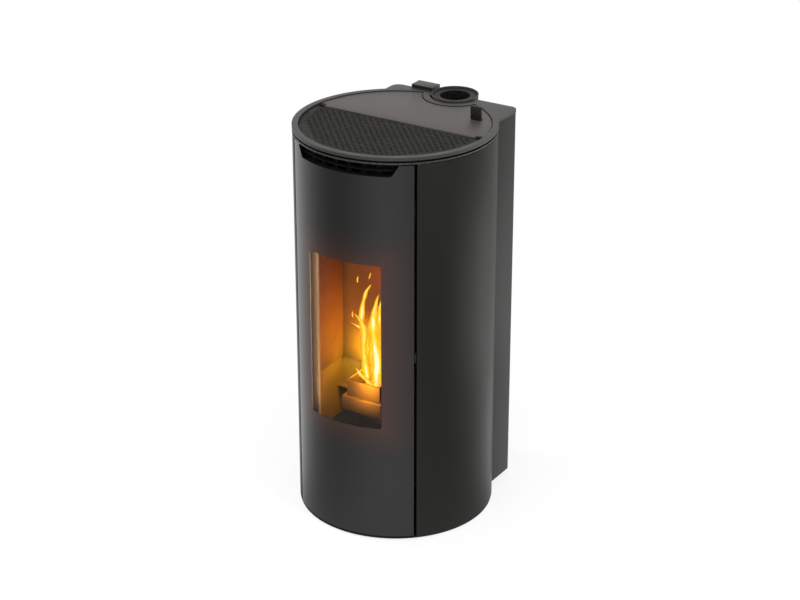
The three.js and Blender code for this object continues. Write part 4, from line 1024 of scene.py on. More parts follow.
@dataclass
class Door:
    """Curved glass with its black print, the frame behind it, its seal, pins and latch."""

    inner: float = 256 * MM
    print_depth: Span = (259.8 * MM, 260 * MM)
    print_bond: float = 0.05 * MM
    print_inset: Span = (0.12, 1 * MM)
    half_angle: float = 42.7
    facet: float = 0.75
    levels: Span = (10 * MM, 1044 * MM)
    tool_depth: Span = (AXIS[1] - 300 * MM, AXIS[1] - 150 * MM)
    slot_low: float = 1014 * MM
    slot_half: Span = (131.2 * MM, 148 * MM)
    slot_corner: float = 4 * MM
    slot_seam: float = 0.05 * MM
    slot_band: float = 0.4 * MM
    slot_reach: float = 37.0
    window_half: float = 107 * MM
    window: Span = (326 * MM, 779 * MM)
    window_corner: float = 5 * MM

    def notch(self, margin: float) -> Object:
        """Builds the body that cuts the hot-air slot.

        Args:
            margin: How much bigger it is than the slot.

        Returns:
            The tool body.
        """
        low_half, high_half = (half + margin for half in self.slot_half)
        z = (self.slot_low - margin, self.levels[1] + CLEAR)
        rise = (z[1] - z[0]) / (self.levels[1] - self.slot_low)
        wide = low_half + (high_half - low_half) * rise
        tool = slab("notch", (-low_half, low_half), self.tool_depth, z)
        pick(tool, Part.FACES, lambda middle, normal: normal.z > ALONG)
        with editing(tool, everything=False):
            bpy.ops.transform.resize(value=(wide / low_half, 1, 1))
        return bevel_edges(
            tool, self.slot_corner, 5,
            lambda middle, way: abs(way.y) > ALONG and middle.z < self.slot_low + self.slot_corner,
        )

    def build_glass(self) -> None:
        """Builds the pane and the black enamel print on its face and on the slot's edge."""
        depth, (low, high) = self.print_depth, self.levels
        pane = curved(
            "door_pane", (self.inner, depth[0] - self.print_bond), self.levels,
            (-self.half_angle, self.half_angle), self.facet,
        )
        work(pane, Cut.AWAY, self.notch(0))
        place(soften(pane, 0.7 * MM, 3, 50), PANE, "door", "door_glass", "door_glass")
        edge, inset = self.half_angle - self.print_inset[0], self.print_inset[1]
        sheet = curved("door_print", depth, (low + inset, high - inset), (-edge, edge), self.facet)
        hole = slab("hole", (-self.window_half, self.window_half), self.tool_depth, self.window)
        bevel_edges(hole, self.window_corner, 6, lambda middle, way: abs(way.y) > ALONG)
        work(sheet, Cut.AWAY, self.notch(0), hole)
        enamel = Enamel("black enamel", window_half=self.window_half, window=self.window)
        place(soften(sheet, 0), enamel, "door", "door_glass")
        band = curved(
            "door_slot_print", (self.inner, depth[0]), (self.slot_low - inset, high - inset),
            (-self.slot_reach, self.slot_reach), self.facet,
        )
        work(band, Cut.KEEP, self.notch(-self.slot_seam))
        work(band, Cut.AWAY, self.notch(-self.slot_band))
        place(soften(band, 0), enamel, "door", "door_glass")

    def build(self) -> None:
        """Builds the glass and dresses the frame, the seal, the pins and the latch."""
        self.build_glass()
        dress("door_frame_steel", "door_frame", 0.6, TARNISHED, "door", "black_steel")
        dress("door_rope", "door_seal", 2.2, ROPE, "door", "seal_rope")
        for side in ("lower", "upper"):
            dress(f"hinge_pin_{side}_turned", f"hinge_pin_{side}", 0.6, STEEL_PART, "stove", "zinc_steel")
        dress("latch_lever_forged", "latch_lever", 0.8, BLACK_STEEL_AND_SHADE, "latch", "black_steel")
        dress("latch_keeper_turned", "latch_keeper", 0.5, STEEL_PART, "stove", "zinc_steel")


@dataclass
class Shell:
    """The drum's side panels, uprights, base plate and feet."""

    radius: float = 260 * MM
    sheet: float = 2 * MM
    front_angle: float = 44.2
    flange: float = 18 * MM
    levels: Span = (8.3 * MM, 1044 * MM)
    fold: float = 1.6 * MM

    def build_panel(self, side: str) -> None:
        """Builds one panel with its folded front edge, which reaches as far round as its solid."""
        name, node = f"{side}_panel_sheet", f"{side}_side_panel"
        end = 180 - math.degrees(math.acos((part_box(node)[1].y - AXIS[1]) / self.radius))
        inner, turn = self.radius - self.sheet, math.radians(self.front_angle)
        skin = curved(name, (inner, self.radius), self.levels, (self.front_angle, end), 1.25)
        fold_end = self.front_angle + math.degrees(self.sheet / self.radius)
        flange_depth = (inner - self.flange, inner + self.sheet / 2)
        work(skin, Cut.ADD, curved("fold", flange_depth, self.levels, (self.front_angle, fold_end), 0.2))
        corner = Vector(AXIS) + Vector((math.sin(turn), -math.cos(turn), 0)) * self.radius
        bevel_edges(
            skin, self.fold, 4,
            lambda middle, way: abs(way.z) > ALONG and (middle.xy - corner.xy).length < 0.5 * MM,
        )
        if side == "left":
            skin.scale.x = -1
            tidy(settle(skin))
        place(soften(skin, 0.5 * MM, 2, 60), DARK_STEEL, "stove", "dark_steel", node)

    def build(self) -> None:
        """Builds the shell."""
        self.build_panel("right")
        self.build_panel("left")
        dress("base_plate_sheet", "base_plate", 0.4, BLACK_STEEL_AND_SHADE, "stove", "black_steel")
        for side in ("left", "right"):
            dress(f"{side}_upright_section", f"{side}_upright", 0.5, ZINC, "stove", "zinc_steel")
        for end in ("front", "rear"):
            for side in ("left", "right"):
                foot = f"foot_{end}_{side}"
                dress(f"{foot}_moulded", foot, 1.0, PLASTIC, f"{end}_{side}_foot", "black_plastic")


@dataclass
class Top:
    """The rimmed top plate, the trim under it, the grille, and the fuel lid with its grip."""

    rim_radius: float = 261 * MM
    opening: float = 245 * MM
    levels: Span = (1056 * MM, 1064 * MM)
    rim_edge: float = 2.6 * MM
    overhang: float = 1 * MM
    sides: int = 240
    trim_radius: Span = (232 * MM, 260.5 * MM)
    trim: Span = (1046 * MM, 1051 * MM)
    trim_notch: float = 68.3 * MM
    disc: float = 242.8 * MM
    grille_edge: float = 10.5 * MM
    grille: Span = (1056 * MM, 1058.5 * MM)
    hole: Span = (11.0 * MM, 4.6 * MM)
    hole_corner: float = 1.9 * MM
    hole_levels: Span = (1.05, 1.065)
    hole_margin: float = 7 * MM
    pitch: Span = (19.0 * MM, 10.5 * MM)
    lid: Span = (1056 * MM, 1062 * MM)
    lid_front: float = AXIS[1] + 16.5 * MM - 3 * MM
    lid_notch: Span = (224.5 * MM, 26 * MM)
    rear_corner: float = 22 * MM
    tongue: float = 84 * MM
    flue_gap: float = 2.2 * MM
    flue_notch: float = 66 * MM

    def __post_init__(self) -> None:
        """Reads the flue's place from its solid."""
        self.flue = middle_of("flue_pipe")[:2]

    def build_plate(self) -> None:
        """Builds the rim, the rear deck and the tongue round the flue."""
        low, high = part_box("rear_housing")
        sheet = post("top_plate_pressed", self.rim_radius, AXIS[:2], self.levels, self.sides)
        deck = slab("deck", (low.x - self.overhang, high.x + self.overhang), (AXIS[1], high.y), self.levels)
        work(sheet, Cut.ADD, bevel_edges(deck, self.rear_corner, 10, at_rear_corner))
        tall = (self.levels[0] - CLEAR, self.levels[1] + CLEAR)
        opening = post("opening", self.opening, AXIS[:2], tall, self.sides)
        work(opening, Cut.AWAY, post("tongue", self.tongue, self.flue, (tall[0] - MM, tall[1] + MM)))
        work(sheet, Cut.AWAY, opening, post("notch", self.flue_notch, self.flue, tall))
        place(soften(sheet, self.rim_edge, 4, 55), RIM_STEEL, "stove", "grey_steel", "top_plate")

    def build_trim(self) -> None:
        """Builds the frame under the plate, with the shadow gap above its trim."""
        trim = ring("top_trim", self.trim_radius, self.trim)
        work(trim, Cut.AWAY, post("notch", self.trim_notch, self.flue, ABOVE))
        place(soften(trim, 0.9 * MM, 3, 60), RIM_STEEL, "stove", "grey_steel")
        # The grey frame under the top plate and the grille gets black paint as painted shade, so it reads dark
        # where it shows.
        dress("top_frame_core", "top_frame", 0.3, BLACK_STEEL_AND_SHADE, "stove", "grey_steel")

    def holes(self) -> Iterator[tuple[Point, Point]]:
        """Yields the place and turn of each hole, in staggered rows inside the trim."""
        limit = self.trim_radius[0] - 2 * MM
        shift = 0.0
        y = self.grille_edge - self.hole_margin - self.hole[1] / 2
        while -y < limit:
            free = math.sqrt(max(0.0, limit**2 - (abs(y) + self.hole[1]) ** 2)) - self.hole[0] / 2
            count = int((free + shift) // self.pitch[0]) + 1
            for i in range(-count, count + 1):
                x = i * self.pitch[0] + shift
                if abs(x) <= free:
                    yield (x, AXIS[1] + y, 0), (0, 0, 0)
            shift = self.pitch[0] / 2 - shift
            y -= self.pitch[1]

    def build_grille(self) -> None:
        """Builds the perforated sheet over the front half."""
        sheet = post("top_grille_sheet", self.disc, AXIS[:2], self.grille, self.sides)
        edge = AXIS[1] + self.grille_edge
        work(sheet, Cut.AWAY, slab("rear", (-FAR, FAR), (edge, edge + 0.5), ABOVE))
        wide, deep = (size / 2 for size in self.hole)
        first = slab("hole", (-wide, wide), (-deep, deep), self.hole_levels)
        bevel_edges(first, self.hole_corner, 2, lambda middle, way: abs(way.z) > ALONG)
        work(sheet, Cut.AWAY, repeated("holes", first, self.holes()))
        place(soften(sheet, 0), GRILLE_STEEL, "stove", "black_steel", "top_grille")

    def build_lid(self) -> None:
        """Builds the lid, its hinges and its grip."""
        front = self.lid_front
        lid = post("pellet_lid_plate", self.disc, AXIS[:2], self.lid, self.sides)
        work(lid, Cut.AWAY, slab("front", (-FAR, FAR), (AXIS[1] - 0.4, front), ABOVE))
        notch_y = (AXIS[1] - 0.1, AXIS[1] + self.lid_notch[1])
        for side in (-1, 1):
            x = tuple(sorted((side * self.lid_notch[0], side * FAR)))
            work(lid, Cut.AWAY, slab("corner", x, notch_y, ABOVE))
        work(lid, Cut.AWAY, post("flue", self.tongue + self.flue_gap, self.flue, ABOVE))
        bevel_edges(
            lid, 2.8 * MM, 4, lambda middle, way: abs(way.x) > ALONG and abs(middle.y - front) < 0.2 * MM
        )
        place(soften(lid, 1.2 * MM, 3, 50), LID_STEEL, "lid", "grey_steel", "pellet_lid")
        for side in ("left", "right"):
            hinge = f"lid_hinge_{side}"
            dress(f"{hinge}_block", hinge, 0.6, BLACK_STEEL_AND_SHADE, "stove", "black_steel")
        dress("lid_grip", "lid_handle", 1.8, PLASTIC, "lid", "black_plastic")

    def build(self) -> None:
        """Builds the top."""
        self.build_plate()
        self.build_trim()
        self.build_grille()
        self.build_lid()


def at_rear_corner(middle: Vector, way: Vector) -> bool:
    """Says whether an edge is one of the upright ones at the back."""
    return abs(way.z) > ALONG and middle.y > AXIS[1] + 0.2


@dataclass
class RearHousing:
    """The folded sheet behind the drum, with its screws, air spigot and mains inlet."""

    sheet: float = 2 * MM
    corner: float = 22 * MM
    channel: float = 66 * MM
    drum_room: float = 260.8 * MM
    front: float = AXIS[1] + 100 * MM
    air_hole: Span = (-88 * MM, 25.3 * MM)
    inlet_rim: float = 2.7 * MM
    spout_levels: Span = (71.7 * MM, 115.3 * MM)
    spout_end: float = 64.3 * MM
    spout_room: float = 0.3 * MM
    spout_depth: float = AXIS[1] + 223 * MM
    screw: float = 3.6 * MM
    screw_inset: float = 30 * MM
    screw_levels: tuple[float, ...] = (0.06, 0.3, 0.54, 0.78, 1.02)

    def build_sheet(self) -> None:
        """Builds the folded sheet, with its channel for the flue and its room for the drum."""
        low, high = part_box("rear_housing")
        flue, tall = middle_of("flue_pipe")[:2], (low.z - CLEAR, high.z + CLEAR)
        body = slab("rear_housing_sheet", (low.x, high.x), (self.front, high.y), (low.z, high.z))
        bevel_edges(body, self.corner, 10, at_rear_corner)
        x, y = (low.x + self.sheet, high.x - self.sheet), (self.front - 5 * CLEAR, high.y - self.sheet)
        inside = slab("inside", x, y, (low.z + self.sheet, high.z + 2 * CLEAR))
        bevel_edges(inside, self.corner - self.sheet, 10, at_rear_corner)
        work(inside, Cut.AWAY, post("wall", self.channel + self.sheet, flue, tall))
        work(body, Cut.AWAY, inside, post("channel", self.channel, flue, tall))
        room = (low.z - 2 * CLEAR, high.z + 5 * CLEAR)
        work(body, Cut.AWAY, post("drum", self.drum_room, AXIS[:2], room, 288))
        self.open_holes(body, high.y)
        place(soften(body, 0.5 * MM, 2, 55), HOUSING_STEEL, "stove", "housing_steel", "rear_housing")

    def open_holes(self, body: Object, rear: float) -> None:
        """Cuts the openings for the spout, the mains inlet and the air pipe.

        Args:
            body: The housing.
            rear: Where its rear face is.
        """
        through = (rear - CLEAR, rear + CLEAR)
        x = (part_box("smoke_fan_housing")[0].x + self.sheet - self.spout_room, self.spout_end)
        work(body, Cut.AWAY, slab("spout", x, (self.front, self.spout_depth), self.spout_levels))
        low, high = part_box("power_inlet")
        x, z = ((a + self.inlet_rim, b - self.inlet_rim) for a, b in ((low.x, high.x), (low.z, high.z)))
        work(body, Cut.AWAY, slab("inlet", x, through, z))
        x, z = self.air_hole[0], middle_of("air_inlet_pipe")[2]
        work(body, Cut.AWAY, rod("air", self.air_hole[1], (x, through[0], z), (x, through[1], z), 48))

    def build(self) -> None:
        """Builds the housing with its screws and dresses what shows in its rear face."""
        self.build_sheet()
        low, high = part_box("rear_housing")
        sides = (low.x + self.screw_inset, high.x - self.screw_inset)
        spots = [(x, high.y, z) for x in sides for z in self.screw_levels]
        Screws("housing_screws", spots, self.screw).build()
        dress("air_spigot_pipe", "air_inlet_pipe", 0.3, ZINC, "stove", "zinc_steel")
        dress("mains_inlet_moulded", "power_inlet", 0.7, PLASTIC, "stove", "black_plastic")
        dress("mains_rocker", "power_switch", 0.5, PLASTIC, "switch", "black_plastic")


@dataclass
class Screws:
    """A set of domed screw heads with hexagon sockets that face the rear."""

    name: str
    spots: Iterable[Point]
    radius: float
    head: Span = (0.05 * MM, 1.8 * MM)
    dome: float = 1.2 * MM
    socket: float = 1.3 * MM
    socket_depth: Span = (0.7 * MM, 4 * MM)

    def build(self) -> None:
        """Builds the set."""
        heads = []
        for x, y, z in self.spots:
            start, end, bottom, top = ((x, y + depth, z) for depth in (*self.head, *self.socket_depth))
            head = rod("head", self.radius, start, end, 20)
            bevel_edges(head, self.dome, 3, lambda middle, way: middle.y > end[1] - 0.1 * MM)
            heads.append(soften(work(head, Cut.AWAY, rod("socket", self.socket, bottom, top, 6)), 0))
        place(fused(self.name, heads), SCREW, "stove", "zinc_steel")


@dataclass
class Flue:
    """The shroud, the smoke pipe and the ledge between them, the base box and the clamps."""

    shroud: Span = (59.4 * MM, 61 * MM)
    pipe: Span = (38.4 * MM, 40 * MM)
    ledge: Span = (40.3 * MM, 59.1 * MM)
    ledge_sheet: float = 2 * MM
    low: float = 150.3 * MM
    rim: float = 1069 * MM
    bead: float = 1.5 * MM
    steps: int = 96
    ear: Span = (12 * MM, 2 * MM)
    screw: float = 3.4 * MM

    def build(self) -> None:
        """Builds the flue."""
        centre, top = (*middle_of("flue_pipe")[:2], 0.0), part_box("flue_pipe")[1].z
        shroud = ring("flue_shroud_tube", self.shroud, (self.low, self.rim - self.bead), centre, self.steps)
        deselect()
        bpy.ops.mesh.primitive_torus_add(
            major_segments=self.steps, minor_segments=12, major_radius=sum(self.shroud) / 2 + 0.3 * MM,
            minor_radius=self.bead, location=(*centre[:2], self.rim - self.bead),
        )
        work(shroud, Cut.ADD, newest("bead"))
        place(soften(shroud, 0), PIPE_STEEL, "stove", "black_steel", "flue_shroud")
        pipe = ring("smoke_pipe_tube", self.pipe, (self.low, top), centre, self.steps)
        place(soften(pipe, 0.5 * MM, 2, 60), SLOT_BLACK, "stove", "black_steel", "flue_pipe")
        ledge = ring("flue_ledge_plate", self.ledge, (top - self.ledge_sheet, top), centre, self.steps)
        place(soften(ledge, 0.4 * MM, 2, 60), LEDGE_STEEL, "stove", "grey_steel", "flue_ledge")
        dress("flue_base_case", "flue_base", 0.8, BLACK_STEEL_AND_SHADE, "stove", "black_steel")
        for level in ("upper", "lower"):
            clamp = f"flue_clamp_{level}"
            dress(f"{clamp}_band", clamp, 0.3, ZINC, "stove", "zinc_steel")
            low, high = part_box(clamp)
            y, z = low.y + self.ear[1], (low.z + high.z) / 2
            ears = (low.x + self.ear[0], high.x - self.ear[0])
            Screws(f"{clamp}_screws", [(x, y, z) for x in ears], self.screw).build()


@dataclass
class Receiver:
    """The box behind the top's edge with its dark window."""

    def build(self) -> None:
        """Builds the box and its window."""
        dress("receiver_case", "receiver_box", 1.2, RIM_STEEL, "stove", "grey_steel")
        dress("receiver_lens", "receiver_window", 0.3, GLOSS_BLACK, "stove", "black_plastic")


@dataclass(frozen=True)
class Lick:
    """One sheet of flame: its turn in degrees, and how far ahead it stands, in millimetres.

    Each row of its line says how far across its middle is, how high it is and half how wide.
    """

    turn: float
    ahead: float
    line: tuple[Point, ...]


LICKS = (
    Lick(32, 0, (
        (11, -8, 16), (9, 35, 25), (9, 74, 27), (4, 114, 23), (4, 154, 20), (1, 186, 16), (5, 213, 12),
        (11, 234, 8), (17, 255, 2),
    )),
    Lick(24, -14, (
        (14, -8, 14), (12, 40, 22), (14, 90, 22), (12, 130, 18), (17, 170, 13), (15, 205, 8), (21, 232, 2),
    )),
    Lick(38, 8, (
        (-12, 5, 9), (-17, 42, 13), (-22, 69, 13), (-24, 101, 11), (-22, 133, 11), (-22, 165, 12),
        (-30, 184, 9), (-40, 198, 5), (-50, 208, 1),
    )),
    Lick(30, -4, (
        (-24, 110, 5), (-27, 154, 9), (-30, 181, 10), (-27, 213, 9), (-22, 239, 8), (-17, 261, 7),
        (-9, 275, 5), (-1, 284, 1),
    )),
    Lick(36, 14, ((2, 2, 10), (-12, 18, 13), (-26, 33, 10), (-37, 46, 6), (-44, 60, 1))),
    Lick(28, 5, ((-18, 150, 8), (-30, 166, 8), (-43, 172, 5), (-56, 180, 1))),
    Lick(20, -6, (
        (20, 0, 11), (30, 40, 15), (34, 80, 13), (28, 120, 11), (34, 160, 9), (42, 190, 6), (46, 215, 1),
    )),
    Lick(45, -12, ((14, 60, 8), (24, 110, 12), (26, 150, 11), (20, 185, 9), (26, 215, 6), (30, 240, 1))),
    Lick(122, 4, ((-14, -5, 14), (-10, 50, 21), (-4, 110, 19), (2, 160, 14), (6, 200, 9), (4, 235, 2))),
    Lick(85, 0, ((8, -5, 14), (12, 45, 19), (6, 95, 17), (10, 140, 12), (4, 180, 7), (8, 205, 1))),
    Lick(32, 0, ((-37, 288, 1.5), (-39, 296, 4), (-36, 305, 1))),
    Lick(32, -8, ((-9, 292, 1.5), (-6, 300, 3.5), (-4, 309, 1))),
    Lick(32, 6, ((-50, 196, 1.5), (-52, 205, 3.5), (-50, 214, 1))),
)


@dataclass
class Fire:
    """The firebox with its linings, the burn pot, the pellets that burn in it and the flames."""

    centre: Span = (0.0, -112 * MM)
    bowl_level: float = 372 * MM
    bowl_half: Span = (42 * MM, 37 * MM)
    heap: Span = (14 * MM, 22 * MM)
    pellets: int = 90
    pellet: Span = (3.0 * MM, 15 * MM)
    parking: float = -10.0
    ripple: Span = (5 * MM, 34.0)

    def build_linings(self) -> None:
        """Dresses the firebox, the baffle, the linings and the pot."""
        for node, width in {"firebox": 0.6, "baffle_plate": 0.8, "burn_pot_holder": 0.8}.items():
            dress(f"{node}_casting", node, width, CAST_IRON, "stove", "cast_iron")
        for node in ("back_liner", "left_liner", "right_liner"):
            dress(f"{node}_board", node, 1.2, FIRE_BOARD, "stove", "fire_brick")
        dress("burn_pot_casting", "burn_pot", 0.9, CAST_IRON, "pot", "cast_iron")

    def strewn(self) -> Iterator[tuple[Point, Point]]:
        """Yields the place and turn of each pellet, in a heap that is highest at its middle."""
        dice = random.Random(7)
        for _ in range(self.pellets):
            spread = dice.random() ** 0.5
            turn = dice.random() * 2 * math.pi
            x = self.centre[0] + self.bowl_half[0] * 0.72 * spread * math.cos(turn)
            y = AXIS[1] + self.centre[1] + self.bowl_half[1] * 0.7 * spread * math.sin(turn)
            z = self.bowl_level - self.heap[0] + self.heap[1] * (1 - spread**2) * dice.random()
            yield (x, y, z), (0, dice.uniform(-0.5, 0.5), dice.uniform(0, math.pi))

    def build_pellets(self) -> None:
        """Builds the heap of glowing pellets in the pot."""
        radius, length = self.pellet
        first = rod("pellet", radius, (-length / 2, 0, 0), (length / 2, 0, 0), 8)
        bevel_edges(first, 0.5 * MM, 1, lambda middle, way: abs(way.x) < 0.5)
        heap = repeated("burning_pellets", first, self.strewn())
        place(soften(heap, 0), Embers("glowing embers"), "pot", "cast_iron")

    def build_flame(self, index: int, lick: Lick) -> None:
        """Builds one sheet of flame, shaped row by row from a plain grid.

        Args:
            index: Its number, counted from 0.
            lick: Its shape.
        """
        rows, turn = len(lick.line) - 1, math.radians(lick.turn)
        deselect()
        bpy.ops.mesh.primitive_grid_add(
            x_subdivisions=4, y_subdivisions=rows, size=1, location=(0, 0, self.parking),
            rotation=(math.pi / 2, 0, 0),
        )
        piece = newest(f"flame_{index + 1}")
        for row, (across, rise, half) in enumerate(lick.line):
            level = self.parking - 0.5 + row / rows
            sway = self.ripple[0] * math.sin(rise / self.ripple[1] + index)
            pick(piece, Part.POINTS, lambda point, normal: abs(point.z - level) < MM)
            with editing(piece, everything=False):
                bpy.ops.transform.resize(value=(2 * half * MM, 1, 1), center_override=(0, 0, level))
                lift = self.bowl_level + rise * MM - level
                bpy.ops.transform.translate(value=(across * MM, sway, lift))
        ahead = lick.ahead * MM
        piece.rotation_euler.z = turn
        piece.location = (
            self.centre[0] + ahead * math.sin(turn), AXIS[1] + self.centre[1] - ahead * math.cos(turn), 0
        )
        settle(piece)
        apply(piece, "SUBSURF", levels=2, render_levels=2)
        bpy.ops.object.shade_smooth()
        piece.visible_shadow = piece.visible_diffuse = False
        place(piece, Flame("flame gas"), "pot", "cast_iron")

    def build(self) -> None:
        """Builds the fire."""
        self.build_linings()
        self.build_pellets()
        for index, lick in enumerate(LICKS):
            self.build_flame(index, lick)


@dataclass
class Workings:
    """The pieces inside that keep their solids' shape: fans, auger, hopper, ducts and the rest."""

    zinc: tuple[str, ...] = (
        "ash_drawer", "pellet_hopper", "auger_tube", "feed_chute", "exhaust_duct", "smoke_fan_housing",
        "room_fan_housing",
    )
    black: tuple[str, ...] = ("auger_motor", "smoke_fan_motor", "room_fan_motor")
    turning: tuple[tuple[str, str, str], ...] = (
        ("smoke_fan_impeller", "smoke_fan", "zinc_steel"), ("room_fan_impeller", "room_fan", "black_steel"),
        ("auger_screw", "auger", "cast_iron"),
    )

    def build(self) -> None:
        """Dresses the workings."""
        for node in self.zinc:
            body = "drawer" if node == "ash_drawer" else "stove"
            dress(f"{node}_sheet", node, 0.4, ZINC, body, "zinc_steel")
        for node in self.black:
            dress(f"{node}_painted", node, 0.5, BLACK_STEEL_AND_SHADE, "stove", "black_steel")
        dress("air_outlet_louvre_painted", "air_outlet_louvre", 0.5, SLOT_BLACK, "stove", "black_steel")
        for node, body, slot in self.turning:
            dress(f"{node}_wheel", node, 0, STEEL_PART, body, slot)
        dress("igniter_cartridge", "igniter", 0.6, STEEL_PART, "stove", "zinc_steel")
        dress("control_board_card", "control_board", 0.2, CIRCUIT, "stove", "circuit_board")


@dataclass
class Studio:
    """Floor, backdrop, lamps and the camera at the photograph's angle."""

    azimuth: float = 32.28
    place_azimuth: float = 32.41
    distance: float = 5.03874
    height: float = 2.85798
    pitch: float = 24.41
    roll: float = -0.066
    lens: float = 95.26
    pale: float = 0.93
    white_share: float = 0.8
    shadow_reach: Span = (0.5, 1.4)
    mirror_light: float = 0.72
    mirror_swing: float = 0.3
    mirror_lobes: int = 3
    mirror_turn: float = 25.5
    world_light: float = 0.6
    glow_size: float = 15 * MM

    def seen(self, nodes: Nodes) -> Socket:
        """Adds a switch that is 1 where something is looked at, in a mirror or through glass too."""
        path = nodes.node("LightPath").outputs
        found = nodes.calc("MAXIMUM", path["Is Camera Ray"], path["Is Glossy Ray"])
        return nodes.calc("MAXIMUM", found, path["Is Transmission Ray"])

    def mirrored_strength(self, floor: Surface) -> Socket:
        """Dims the floor where it is seen in a reflection, with a few paler lobes round the stove.

        Args:
            floor: The floor's material.

        Returns:
            The strength.
        """
        where = floor.split(floor.where)
        turn = floor.calc("ARCTAN2", where["X"], floor.calc("MULTIPLY", where["Y"], -1.0))
        lobe = floor.calc("SUBTRACT", turn, math.radians(self.mirror_turn))
        wave = floor.calc("COSINE", floor.calc("MULTIPLY", lobe, self.mirror_lobes))
        mirrored = floor.calc("ADD", floor.calc("MULTIPLY", wave, self.mirror_swing), self.mirror_light)
        glossy = floor.node("LightPath").outputs["Is Glossy Ray"]
        loss = floor.calc("MULTIPLY", glossy, floor.calc("SUBTRACT", 1.0, mirrored))
        return floor.calc("SUBTRACT", 1.0, loss)

    def show(self, nodes: Nodes, share: Socket, own: Socket, white: Node, end: str) -> None:
        """Ends a tree with a mix of what lights the scene and the white that is seen."""
        mix = nodes.node("MixShader", {0: share, 1: own, 2: white.outputs[0]})
        nodes.plug(mix.outputs[0], nodes.tree.nodes[end].inputs["Surface"])

    def build_floor(self) -> None:
        """Builds the floor: white where it is seen, with the object's shadow left in near it."""
        deselect()
        bpy.ops.mesh.primitive_plane_add(size=60, location=(0, 0, -0.5 * MM))
        floor = newest("floor")
        made = Surface("pale floor")
        made.feed(Base_Color=(self.pale, self.pale, self.pale, 1), Roughness=0.9, Specular_IOR_Level=0.1)
        away = made.node("VectorMath", {0: made.where}, operation="LENGTH").outputs["Value"]
        values = dict(zip(("From Min", "From Max", "To Min"), (*self.shadow_reach, self.white_share)))
        values = {"Value": away, "To Max": 1.0, **values}
        share = made.node("MapRange", values, interpolation_type="SMOOTHSTEP").outputs["Result"]
        white = made.node("Emission", {"Strength": self.mirrored_strength(made)})
        share = made.calc("MULTIPLY", self.seen(made), share)
        self.show(made, share, made.shader.outputs[0], white, "Material Output")
        floor.data.materials.append(made.material)
        floor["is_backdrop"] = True

    def build_world(self) -> None:
        """Builds the world's pale light and the white that is seen of it."""
        world = bpy.data.worlds.new("pale room")
        bpy.context.scene.world = world
        world.use_nodes = True
        nodes, light = Nodes(world.node_tree), world.node_tree.nodes["Background"]
        nodes.plug((0.97, 0.98, 1.0, 1), light.inputs["Color"])
        nodes.plug(self.world_light, light.inputs["Strength"])
        white = nodes.node("Background", {"Color": (*WHITE, 1), "Strength": 1.0})
        self.show(nodes, self.seen(nodes), light.outputs[0], white, "World Output")

    def lamp(
        self, name: str, spot: Point, power: float, colour: Point = WHITE, aim: Point | None = None,
        size: Span = (0, 0),
    ) -> Object:
        """Adds a soft lamp, rectangular if it is aimed and round if not.

        Args:
            name: Its name.
            spot: Where it stands.
            power: Its power in watts.
            colour: Its colour.
            aim: What it faces.
            size: Its width and height.

        Returns:
            The lamp, which is itself not seen.
        """
        data = bpy.data.lights.new(name, "AREA" if aim else "POINT")
        data.energy, data.color = power, colour
        lamp = bpy.data.objects.new(name, data)
        lamp.location = spot
        if aim:
            data.shape = "RECTANGLE"
            data.size, data.size_y = size
            lamp.rotation_euler = (Vector(aim) - Vector(spot)).to_track_quat("-Z", "Y").to_euler()
        else:
            data.shadow_soft_size = self.glow_size
        lamp.visible_camera = lamp.visible_glossy = lamp.visible_transmission = False
        bpy.context.scene.collection.objects.link(lamp)
        return lamp

    def build_lamps(self) -> None:
        """Adds the lamps of the studio and the fire's own light."""
        body = (0, 0, 0.6)
        self.lamp("left strip", (-2.6, -0.6, 1.2), 50, WHITE, body, (0.5, 2.6))
        self.lamp("right strip", (3.0, -1.0, 1.4), 60, WHITE, body, (0.9, 2.6))
        self.lamp("ceiling", (0.4, -1.2, 3.6), 60, WHITE, body, (2.4, 2.4))
        side = self.lamp("side strip", (0.96, 0.5, 0.35), 2.2, WHITE, (0.25, -0.05, 0.55), (1.0, 0.7))
        side.visible_glossy = True
        self.lamp("fire light low", at(-8, -90, 480), 1.15, (1.0, 0.42, 0.02))
        self.lamp("fire light corner", at(-48, -84, 425), 1.1, (1.0, 0.6, 0.01))
        self.lamp("fire light high", at(20, -95, 640), 0.25, (1.0, 0.12, 0.02))
        self.lamp("fire light front", at(20, -195, 400), 1.5, (1.0, 0.5, 0.025))
        self.lamp(
            "fire light on the flange", at(-101, -233, 555), 0.42, (1.0, 0.68, 0.42), at(-120, -197, 555),
            (8 * MM, 430 * MM),
        )
        self.lamp(
            "fire light on the wall", at(-70, -125, 430), 0.5, (1.0, 0.78, 0.005), at(-48, -60, 400),
            (50 * MM, 100 * MM),
        )

    def build_camera(self) -> None:
        """Adds the camera where the photograph was taken from."""
        data = bpy.data.cameras.new("camera")
        data.sensor_width = 36
        data.lens = self.lens
        camera = bpy.data.objects.new("camera", data)
        turn = math.radians(self.place_azimuth)
        camera.location = (
            AXIS[0] + self.distance * math.sin(turn), AXIS[1] - self.distance * math.cos(turn), self.height,
        )
        aim = Euler((math.radians(90 - self.pitch), 0, math.radians(self.azimuth))).to_matrix()
        camera.rotation_euler = (aim @ Matrix.Rotation(math.radians(self.roll), 3, "Z")).to_euler()
        bpy.context.scene.collection.objects.link(camera)
        bpy.context.scene.camera = camera

    def build(self) -> None:
        """Builds the studio."""
        self.build_floor()
        self.build_world()
        self.build_lamps()
        self.build_camera()
        bpy.context.scene.view_settings.view_transform = "Standard"


def write_sizes(before: tuple[Vector, Vector]) -> None:
    """Gathers the model's box before and after dressing into a dictionary, which is not written anywhere.

    Args:
        before: The box straight after loading.
    """
    sizes = {"cad": [list(corner) for corner in before], "visual": [list(corner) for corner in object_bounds()]}


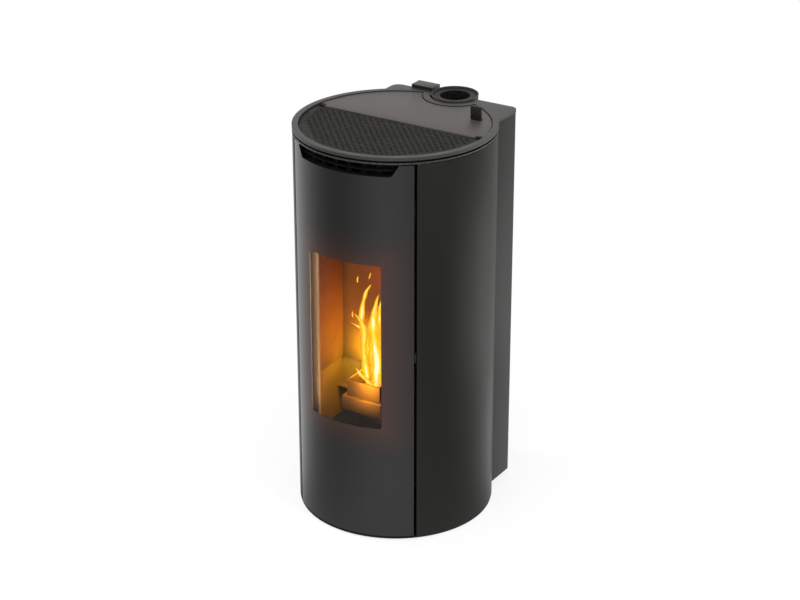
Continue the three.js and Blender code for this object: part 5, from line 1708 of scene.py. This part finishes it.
def main() -> None:
    """Builds every sub-assembly in order."""
    logging.basicConfig(level=logging.INFO, format="%(name)s: %(message)s")
    before = tuple(corner.copy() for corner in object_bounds())
    for maker in (Studio(), Door(), Shell(), Top(), RearHousing(), Flue(), Receiver(), Fire(), Workings()):
        maker.build()
        log.info("built %s", type(maker).__name__)
    write_sizes(before)


if __name__ == "__main__":
    main()
